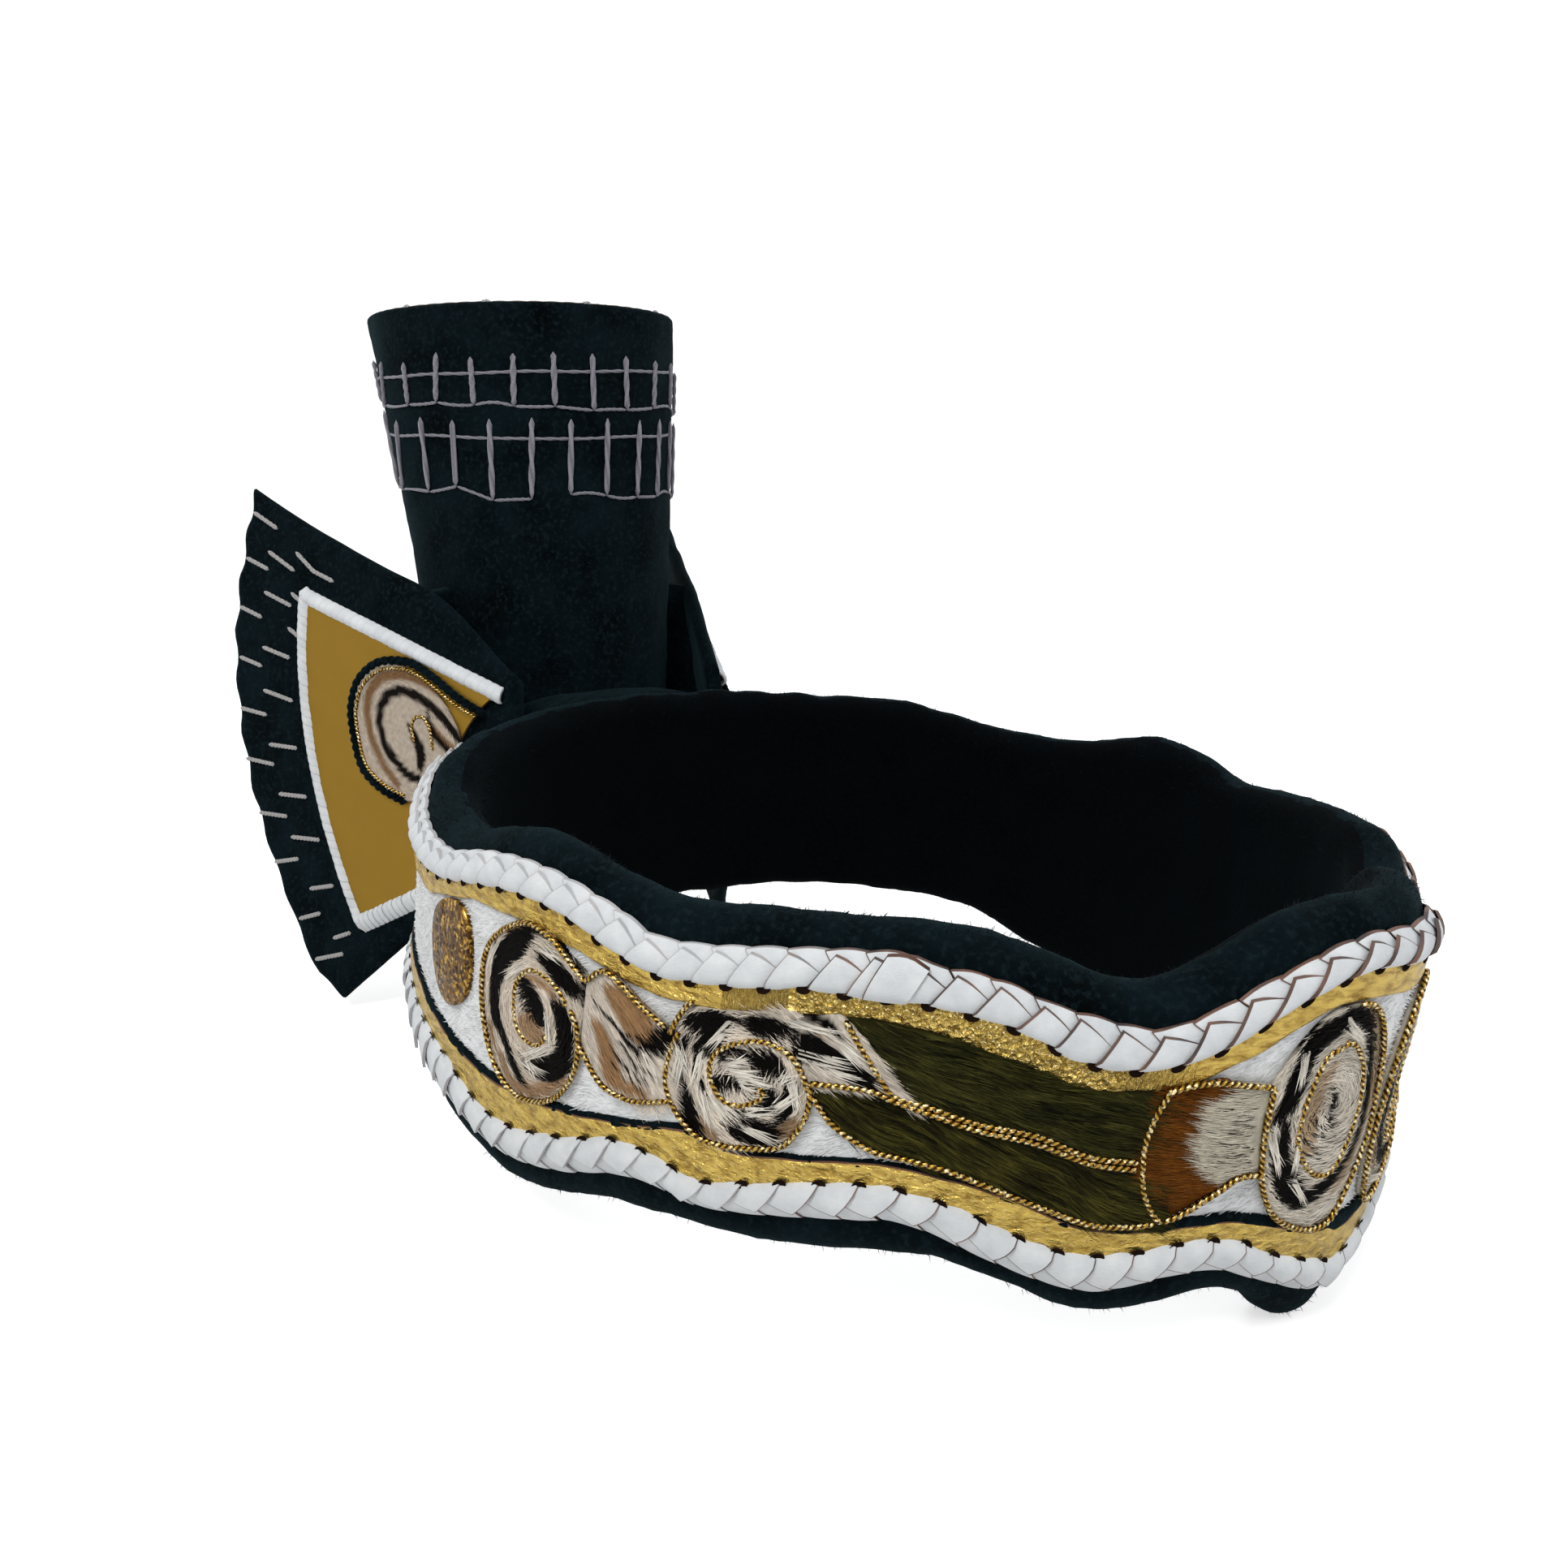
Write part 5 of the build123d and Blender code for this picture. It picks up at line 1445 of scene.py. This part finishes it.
# Base, outer wall, rolled rim, inner wall and floor in one skin, with soft lumps
def makeTube():
    turn = np.linspace(0, 2 * np.pi, tube["columns"])[None]
    share = np.linspace(0, 1, tube["rows"])[:, None]
    rim = np.linspace(0, np.pi, tube["capRows"])[1:-1, None]
    half, floor = tube["wall"] / 2, tube["floor"]
    count = tube["capRows"] - 1
    inward = np.linspace(0, 28.6, count + 1)[1:, None]
    points = np.concatenate([
        tubePoint(turn, np.zeros((count, 1)), -np.linspace(0, 30.4, count + 1)[:-1, None])[::-1],
        tubePoint(turn, share, 0.0),
        tubePoint(turn, 1.0 + 0.008 * np.sin(rim), -half + half * np.cos(rim)),
        tubePoint(turn, 1 - (1 - floor) * share, -tube["wall"]),
        tubePoint(turn, np.full((count, 1), floor), -tube["wall"] - inward)])
    soft = 0.35 * lumps(points, 22.0, 81) + 0.12 * lumps(points, 6.0, 82)
    points = points + np.broadcast_to(tubeAway(turn), points.shape) * soft[..., None]
    points[:, -1] = points[:, 0]
    addPiece("feather_tube_velvet", settle(points), gridFaces(*points.shape[:2]), velvet, "velvet",
             ["feather_tube"])


# Blanket stitches in two rows, their cross line and the loops between their feet, evenly on round the back
def makeTubeStitches():
    look = {"radius": 0.84, "out": 0.7, "loop": 0.45, "loopOut": 0.25, "cross": 0.45, "crossOut": 0.12}
    way = np.linspace(0, 1, 14)
    around = np.linspace(0, 2 * np.pi, 260)
    parts = []
    draw = np.random.default_rng(83)
    for row in stitchRows:
        tops, feet, cross = (photoToTube(row[key]) for key in ("tops", "feet", "cross"))
        first, last = tops[0][0], tops[0][-1]
        step = (last - first) / (len(tops[0]) - 1)
        hidden = last + np.arange(1, round((2 * np.pi - last + first) / step)) * step
        (turnA, shareA), (turnB, shareB) = (
            (np.concatenate([turns, hidden]),
             np.concatenate([shares, shares.mean() + draw.normal(0, 0.006, len(hidden))]))
            for turns, shares in (tops, feet))
        count = len(turnA)
        for k in range(count):
            parts.append(yarnPart(turnA[k] + (turnB[k] - turnA[k]) * way,
                                  shareA[k] + (shareB[k] - shareA[k]) * way, look["radius"], look["out"]))
            if k in row["open"]:
                continue
            after = (k + 1) % count
            turnOn = turnB[after] + (2 * np.pi if after == 0 else 0)
            sag = np.sin(np.pi * way) * draw.normal(0.0, 0.004)
            parts.append(yarnPart(turnB[k] + (turnOn - turnB[k]) * way,
                                  shareB[k] + (shareB[after] - shareB[k]) * way - sag, look["loop"],
                                  look["loopOut"]))
        full = cross[0][0] + 2 * np.pi
        turns = np.linspace(cross[0][0], full, 260)
        level = np.interp(turns, np.append(cross[0], full), np.append(cross[1], cross[1][0]))
        parts.append(yarnPart(turns, level + 0.001 * np.sin(turns * 9), look["cross"], look["crossOut"]))
    addCords("tube_stitches", parts, lilacYarn, "velvet")

    # Thin edge of the lining along the rim, with a pale stitch here and there
    addCords("tube_rim_line", [yarnPart(around, np.full(260, 1.006), 0.4, -1.0)], rimYarn, "velvet")
    parts = [yarnPart(np.linspace(at - 0.028, at + 0.028, 8), np.full(8, 1.008), 0.6, -1.0)
             for at in np.radians((-75, -42, -6, 30, 68, 120, 170, 215))]
    addCords("tube_rim_stitches", parts, beigeYarn, "velvet")


# Fans: a sheet each side of the tube, with its own flat map (along it, up it)
fan = {"start": 92.6, "aside": 25.0, "sweep": 64.0, "lean": 0.45, "thick": 4.4, "root": 16.2, "slant": 3.5,
       "rootHeight": 40.0, "rootLevel": 2.0, "centre": 9.4, "level": -11.0, "reach": 103.5, "spread": 38.0,
       "tip": 4.0, "raise": (0.0, 6.5, 3.8, 1.2, 0.0)}
sector = {"centre": -35.6, "level": 7.8, "reachUp": 119.5, "reachDown": 130.0, "rootUp": 54.0,
          "rootDown": 92.0, "up": 12.0, "down": 28.5, "braid": 4.0}


def fanAxes(side):
    turn = math.radians(fan["sweep"])
    run = np.array([side * math.cos(turn), math.sin(turn), 0.0])
    rise = np.array([0.0, fan["lean"], 1.0])
    face = np.cross(run, rise)
    face *= -np.sign(face[1]) / np.linalg.norm(face)
    return run, rise, face


def fanPoint(along, up, out, side):
    run, rise, face = fanAxes(side)
    along, up, out = np.broadcast_arrays(np.asarray(along, float), up, out)
    start = np.array([side * fan["aside"], fan["start"], 0.0])
    return (start + along[..., None] * run + up[..., None] * rise
            + (out + fan["thick"] / 2)[..., None] * face)


# A point of the fan at each place of its flat map
def fanAt(spot, out, side):
    return fanPoint(spot[..., 0], spot[..., 1], out, side)


# Where sight lines through photo pixels meet the near fan, some way out from its front face
def photoToFan(pixels, out=0.0):
    run, rise, face = fanAxes(-1)
    eye, way = sightLines(pixels)
    start = np.array([-fan["aside"], fan["start"], 0.0]) + face * (fan["thick"] / 2 + out)
    reach = ((start - eye) @ face) / (way @ face)
    spot = eye + way * reach[:, None] - start
    up = spot[:, 2]
    along = (spot - up[:, None] * rise) @ run
    return np.stack([along, up], -1)


# Stitches on the fans, from their outer to their inner end, in the photo's pixels
fanStitches = (
    ((313, 631), (343, 652)), ((304, 687), (332, 702)), ((296, 747), (324, 761)), ((296, 809), (324, 821)),
    ((297, 872), (330, 881)), ((304, 934), (339, 942)), ((320, 1001), (355, 1006)), ((339, 1062),
    (369, 1058)), ((369, 1132), (396, 1125)), ((389, 1182), (424, 1175)), ((331, 679), (364, 704)),
    ((326, 729), (360, 747)), ((324, 797), (358, 811)), ((325, 850), (362, 864)), ((332, 917), (367, 922)),
    ((344, 978), (379, 982)), ((359, 1031), (395, 1035)), ((382, 1095), (412, 1091)), ((411, 1156),
    (433, 1149)), ((365, 680), (387, 704), (412, 717)), ((359, 730), (377, 747)), ((355, 773), (373, 788)))


# Fan outline by turn and share out from the root: an arc with longer tips, a wavy edge, a raised upper side
def fanSpot(across, along):
    turn = np.radians(fan["spread"]) * across
    wave = 0.7 * np.cos(across * 31.0) * along ** 8
    tip = np.where(across > 0, across ** 4, across ** 4 - 1.6 * np.maximum(-across - 0.88, 0) / 0.12)
    reach = fan["reach"] + fan["tip"] * tip + wave
    farA = fan["centre"] + reach * np.cos(turn)
    farB = fan["level"] + reach * np.sin(turn)
    rootA = fan["root"] - fan["slant"] * across
    rootB = fan["rootLevel"] + across * fan["rootHeight"] / 2
    raised = throughRows(np.array(fan["raise"]), along * 4.0)
    up = rootB + (farB - rootB) * along + raised * np.maximum(across, 0.0) ** 3
    return rootA + (farA - rootA) * along, up


def makeFan(side, label):
    across = np.sin(np.linspace(-np.pi / 2, np.pi / 2, 91))[:, None]
    along = (1 - (1 - np.linspace(0, 1, 40)) ** 1.6)[None]
    a, b = fanSpot(across, along)
    sideways = (1 - np.abs(across)) * (12 + 50 * along)
    forward = (1 - along) * 95.0
    near = np.minimum(np.minimum(sideways, forward), along * 40 + 1.0)
    half = fan["thick"] / 2
    puff = half * np.sqrt(np.maximum(1 - (1 - np.clip(near / 2.4, 0, 1)) ** 2, 0.0)) - 0.05
    flat = np.stack([a, b], -1)
    soft = 0.22 * lumps(flat, 15.0, 91) + 0.1 * lumps(flat, 5.0, 92)
    piece = addSlab("fan_" + label + "_velvet", fanPoint(a, b, -half + puff + soft, side),
                    fanPoint(a, b, -half - puff + soft, side), velvet, "velvet", ["fan_" + label])

    parts = []
    for out, face in ((0.25, 1.0), (-fan["thick"] - 0.25, -1.0)):
        for pixels in fanStitches:
            line = fanAt(evenLine(photoToFan(pixels), 0.6), out, side)
            away = np.broadcast_to(fanAxes(side)[2] * face, line.shape)
            parts.append(twistedCord(line, away, 0.68, 2.4, 8, 0.7))
    addCords("fan_" + label + "_stitches", parts, beigeYarn, "velvet")


# Reach of the gold sector's outer edge from its centre, lower side (0) to upper side (1)
def sectorReach(share):
    return sector["reachDown"] + (sector["reachUp"] - sector["reachDown"]) * share


def makeFanGold(side, label):
    share = np.linspace(0, 1, 41)[:, None]
    root = sector["rootDown"] + (sector["rootUp"] - sector["rootDown"]) * share
    reach = root + (sectorReach(share) - 2.0 - root) * np.linspace(0, 1, 31)[None]
    turn = np.radians(-sector["down"] + 1 + (sector["up"] + sector["down"] - 2) * share)
    spot = np.stack([sector["centre"] + reach * np.cos(turn), sector["level"] + reach * np.sin(turn)], -1)
    soft = 0.12 * lumps(spot, 9.0, 95) + 0.04 * lumps(spot, 2.5, 96)
    raw = np.zeros((2,) + soft.shape)
    raw[1] = 1.0
    addSlab("fan_gold_" + label + "_gilt", fanAt(spot, 1.25 + soft, side), fanAt(spot, 0.3 + 0 * soft, side),
            giltFan, "gold_leather", ["fan_gold_" + label], values={"raw": raw}, sharp=50)


# Fine white lace whipped over three sides of the gold sector
def makeFanLace(side, label):
    look = {"step": 0.5, "pass": 2.05, "seed": 97, "sink": 1.0, "skirt": 0.6, "raw": 0.35,
            "corners": ((0, 0), (0.55, 1.0), (1.75, 1.0), (1.2, 0))}
    inset = sector["braid"] / 2
    low, high = -math.radians(sector["down"]), math.radians(sector["up"])
    lower = np.linspace(sector["rootDown"], sector["reachDown"] - inset, 30)
    upper = np.linspace(sector["rootUp"], sector["reachUp"] - inset, 30)
    share = np.linspace(0, 1, 60)[1:-1]
    arc = low + (high - low) * share
    reach = sectorReach(share) - inset
    path = evenLine(np.concatenate([
        np.stack([lower * math.cos(low), lower * math.sin(low) + inset], -1),
        np.stack([reach * np.cos(arc), reach * np.sin(arc)], -1),
        np.stack([upper * math.cos(high), upper * math.sin(high) - inset], -1)[::-1]]), look["step"])
    run = np.arange(len(path)) * look["step"]
    ahead = np.gradient(path, axis=0)
    normal = np.stack([-ahead[:, 1], ahead[:, 0]], -1) / np.linalg.norm(ahead, axis=1)[:, None]
    count = int(run[-1] / look["pass"])

    def place(x, v, h):
        at = (np.arange(len(x))[:, None, None] + x) * look["pass"]
        spot, off = (np.stack([np.interp(at, run, line[:, axis]) for axis in (0, 1)], -1)
                     for line in (path, normal))
        spot = spot + off * ((0.5 - v) * sector["braid"])[..., None]
        along, up = sector["centre"] + spot[..., 0], sector["level"] + spot[..., 1]
        return settle(fanPoint(along, up, h - look["sink"], side))

    scales = laceScales(look["corners"], 7, 8, 0.35, 0.0, 0.1, np.random.default_rng(look["seed"]), count)
    points, faces, raw = scaleMesh(scales, place, look["skirt"], side < 0)
    addPiece("fan_braid_" + label + "_lace", points, faces, lace, "white_lacing", ["fan_braid_" + label],
             values={"raw": raw * look["raw"]}, weld=False, sharp=60)


# Fur scroll on a fan: long stripes bent round an open curl, with a black scalloped cord and a gold one
fanScroll = {"centre": (50.0, 0.0), "radius": 18.5, "inset": 0.97, "map": 1.9, "seat": 1.3, "hairSeat": 2.1,
             "hairs": 7500}
fanCurl = (
    (597, 881), (566, 862), (536, 837), (512, 820), (491, 814), (464, 817), (442, 837), (433, 868),
    (435, 899), (446, 944), (469, 971), (500, 989))
fanCurlBack = ((540, 985), (590, 945), (612, 905))
fanHeart = ((533, 925), (530, 900), (522, 885), (512, 884), (507, 896), (511, 915))
fanDarks = (
    ((577, 928, 8), (553, 893, 11), (536, 874, 11), (515, 858, 11), (495, 851, 10), (478, 858, 10),
    (469, 880, 9), (472, 905, 10), (480, 925, 11), (491, 940, 11), (505, 955, 11), (527, 963, 8)),
    ((528, 880, 5), (536, 904, 9), (550, 921, 9), (562, 936, 6)), ((505, 893, 5), (513, 908, 12),
    (520, 928, 13), (519, 946, 8)))
fanTans = (
    ((592, 893, 8), (560, 868, 9), (530, 845, 10), (500, 832, 10), (470, 836, 10), (455, 860, 10),
    (456, 895, 10), (470, 935, 10), (490, 965, 10)), ((560, 925, 10), (540, 905, 10), (530, 890, 8)))


def fanFurTint(places):
    tint = np.broadcast_to(colour("#cdbfae"), (len(places), 3))
    for tone, strokes, soft in (("#8b6a4a", fanTans, 0.8), ("#171310", fanDarks, 0.5)):
        mask = strokeMask(places, strokes, soft, lambda pixels: photoToFan(pixels, fanScroll["map"]), 4.0, 5)
        tint = blend(tint, colour(tone), mask)
    return tint


def makeFanScroll(side, label):
    name = "fan_scroll_" + label
    centre = np.array(fanScroll["centre"])
    face = fanAxes(side)[2]
    edge = photoToFan(smoothLine(fanCurl + fanCurlBack, 90, True), fanScroll["map"]) - centre
    facing = np.arctan2(edge[:, 1], edge[:, 0])
    order = np.argsort(facing)

    # The rim follows the curl's outline, no further out than the scroll's radius
    def rim(angle):
        far = np.interp(angle, facing[order], np.linalg.norm(edge, axis=1)[order], period=2 * np.pi)
        return np.minimum(far * fanScroll["inset"], fanScroll["radius"])

    turn = np.linspace(0, 2 * np.pi, 65)[None]
    reach = np.linspace(0, 1, 18)[:, None]
    spot = centre + (rim(turn) * reach)[..., None] * np.stack([np.cos(turn), np.sin(turn)], -1)
    height = 1.35 + 0.6 + 0.5 * (1 - reach ** 4) + 0 * turn
    tint = fanFurTint(spot.reshape(-1, 2)) * 0.8
    back = fanAt(spot, np.full(height.shape, fanScroll["seat"]), side)
    addSlab(name + "_skin", fanAt(spot, height, side), back, furSkin, "striped_fur", [name],
            tint=np.concatenate([tint, tint]))

    draw = np.random.default_rng(99 + (side > 0))
    count = fanScroll["hairs"]
    angle = draw.uniform(0, 2 * np.pi, count)
    far = np.sqrt(draw.random(count)) * rim(angle) * 0.98
    spot = centre + far[:, None] * np.stack([np.cos(angle), np.sin(angle)], -1)
    bend = angle + np.pi / 2 + 0.2 * draw.normal(size=count)
    comb = np.stack([np.cos(bend), np.sin(bend)], -1)
    run, rise = fanAxes(side)[:2]
    way = comb[:, :1] * run + comb[:, 1:] * rise
    length = draw.uniform(1.6, 4.0, count)
    seen = spot + comb * (length * 0.6 + draw.normal(0, 0.25, count))[:, None]
    tint = fanFurTint(seen) * draw.uniform(0.8, 1.2, (count, 1))
    lift = draw.uniform(0.3, 0.9, count)
    foot = fanAt(spot, fanScroll["hairSeat"], side)
    ribbons = hairRibbons(foot, way, np.broadcast_to(face, way.shape), length, draw.uniform(0.1, 0.2, count),
                          lift, lift * draw.uniform(0.5, 1.0, count))
    addHairs(name + "_hair", "striped_fur", ribbons, hairTones(tint, 0.6))

    def cordAlong(spots, out, *shape):
        line = evenLine(fanAt(spots, out, side), 0.3)
        return twistedCord(line, np.broadcast_to(face, line.shape), *shape)

    curl = photoToFan(smoothLine(fanCurl, 120), 2.2)
    points, faces = cordAlong(curl, 2.2, 1.25, 4.4, 10, 0.8)[:2]
    addPiece(name + "_black_cord", settle(points), faces, velvet, "velvet", weld=False)
    heart = photoToFan(smoothLine(fanHeart, 50), 2.6)
    parts = [cordAlong(centre + (curl - centre) * 0.9, 2.5, 0.5, 2.1), cordAlong(heart, 2.6, 0.5, 2.1)]
    addCords(name + "_gold_cord", parts, goldCord, "gold_leather")


# Web of velvet that closes the gap between the tube and each fan
def makeWeb(side, label):
    look = {"low": -6, "high": 38, "rows": 40, "columns": 8, "turn": 1.32, "far": 40.0, "half": 1.1}
    level = np.linspace(look["low"], look["high"], look["rows"])
    share = (level - tube["footLevel"]) / (tube["rimLevel"] - tube["footLevel"])
    near = tubePoint(np.full(look["rows"], side * look["turn"]), share, -0.8)
    far = fanPoint(look["far"], level, -fan["thick"] * 0.7, side)
    across = np.linspace(0, 1, look["columns"])[None, :, None]
    middle = near[:, None] * (1 - across) + far[:, None] * across
    normal = unit(np.cross(far - near, (0, 0, 1.0)))[:, None] * look["half"]
    addSlab("web_" + label + "_velvet", middle + normal, middle - normal, velvet, "velvet")


# Knot of velvet that holds the ring, the tube and the fans: a rounded block with gathered folds
def makeKnot():
    look = {"folds": 14, "deep": 0.035, "square": 0.55, "ends": 5}
    low, high = (np.array(corner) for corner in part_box("back_knot"))
    turn = np.linspace(0, 2 * np.pi, 73)[None]
    rise = np.linspace(-1, 1, 33)[:, None]
    middle, half = (low + high) / 2, (high - low) / 2
    girth = (1 - np.abs(rise) ** look["ends"]) ** 0.5
    fold = 1 + look["deep"] * np.cos(turn * look["folds"] + rise * 2)
    c, s = (np.sign(value) * np.abs(value) ** look["square"] for value in (np.cos(turn), np.sin(turn)))
    points = np.stack([middle[0] + half[0] * c * girth * fold, middle[1] + half[1] * s * girth * fold * 0.98,
                       middle[2] + half[2] * rise + 0 * turn], -1)
    points[:, -1] = points[:, 0]
    faces = gridFaces(*points.shape[:2])
    piece = addPiece("back_knot_velvet", points, faces, velvet, "velvet", ["back_knot"])


makeRing()
makePile()
makeGround()
for name, sign in (("gold_border_top", 1), ("gold_border_bottom", -1)):
    makeGilding(name, sign)
makeDarkStrip()
for name, sign in (("braid_top", 1), ("braid_bottom", -1)):
    makeLacing(name, sign)
print("ring, gilding and lacing made")
sides = ((-1, "right"), (1, "left"))
makeGroundFur()
for side, label in sides:
    makeGoldOval(side, label)
    for name in furStyles:
        makeFurPiece(name, side, label)
    makeCords(side, label)
print("fur and cords made")
makeTube()
makeTubeStitches()
makeKnot()
for side, label in sides:
    for make in (makeFan, makeWeb, makeFanGold, makeFanLace, makeFanScroll):
        make(side, label)
print("tube and fans made")


def addObject(name, data):
    made = bpy.data.objects.new(name, data)
    bpy.context.scene.collection.objects.link(made)
    return made


# Floor, light and the photo's camera
def makeStage():
    half = 3.0
    mesh = bpy.data.meshes.new("floor")
    corners = [(x * half, y * half, 0) for x, y in ((-1, -1), (1, -1), (1, 1), (-1, 1))]
    mesh.from_pydata(corners, [], [(0, 1, 2, 3)])
    material, tree, shader, where = startMaterial("paleFloor", {
        "Roughness": 0.8, "Emission Color": (1, 1, 1, 1)})
    seen = node(tree, "ShaderNodeLightPath").outputs["Is Camera Ray"]
    tone = cloudTone(tree, where, 3.0, (0.84, 0.84, 0.84, 1), (0.88, 0.88, 0.88, 1), 0.3)
    setInputs(tree, shader, {"Base Color": tone, "Emission Strength": times(tree, seen, 0.62)})
    mesh.materials.append(material)
    addObject("floor", mesh)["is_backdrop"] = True

    world = bpy.data.worlds.new("studio")
    world.use_nodes = True
    tree = world.node_tree
    path = node(tree, "ShaderNodeLightPath").outputs
    mirrored, seen = times(tree, path["Is Glossy Ray"], 0.5), times(tree, path["Is Camera Ray"], 0.6)
    setInputs(tree, tree.nodes["Background"], {0: (1.0, 1.0, 1.0, 1), 1: plus(tree, mirrored, seen, 0.5)})
    bpy.context.scene.world = world

    lights = (("key", (-0.75, -0.45, 0.95), 0.35, 7.0, (1.0, 0.98, 0.95)),
              ("fill", (0.6, -0.8, 0.6), 0.5, 2.0, (0.94, 0.97, 1.0)),
              ("top", (-0.1, 0.35, 1.1), 0.35, 2.5, (0.93, 0.97, 1.0)))
    for name, spot, size, power, tone in lights:
        lamp = bpy.data.lights.new(name, "AREA")
        lamp.size = size
        lamp.energy = power
        lamp.color = tone
        made = addObject(name, lamp)
        made.location = spot
        aim = mathutils.Vector(np.array([0.0, 0.0, 0.06]) - np.array(spot))
        made.rotation_euler = aim.to_track_quat("-Z", "Y").to_euler()


def makeCamera():
    right, up, back, eye = cameraAxes()
    turn = math.radians(ring["turn"])
    c, s = math.cos(turn), math.sin(turn)
    tilt = np.array([[1, 0, 0], [0, c, -s], [0, s, c]])
    lens = bpy.data.cameras.new("photoView")
    lens.sensor_width = photoCamera["sensor"]
    lens.lens = photoCamera["sensor"] * photoCamera["focal"] / (2 * photoCamera["middle"])
    lens.clip_start, lens.clip_end = 0.01, 20.0
    matrix = np.eye(4)
    matrix[:3, :3] = np.stack([tilt @ right, tilt @ up, tilt @ back], 1)
    matrix[:3, 3] = settle(eye)
    made = addObject("photoView", lens)
    made.matrix_world = mathutils.Matrix(matrix.tolist())
    bpy.context.scene.camera = made


makeStage()
makeCamera()
bpy.context.scene.view_settings.view_transform = "Standard"
print("stage and camera made")

shapes = [piece.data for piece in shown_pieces() if piece.type == "MESH"]
for mesh in shapes:
    mesh.calc_loop_triangles()
print("triangles", sum(len(mesh.loop_triangles) for mesh in shapes))
low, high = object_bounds()
for name, corners in (("cad", (*cadLow, *cadHigh)), ("visual", (*low, *high))):
    print(name, [round(value * 1000, 1) for value in corners])
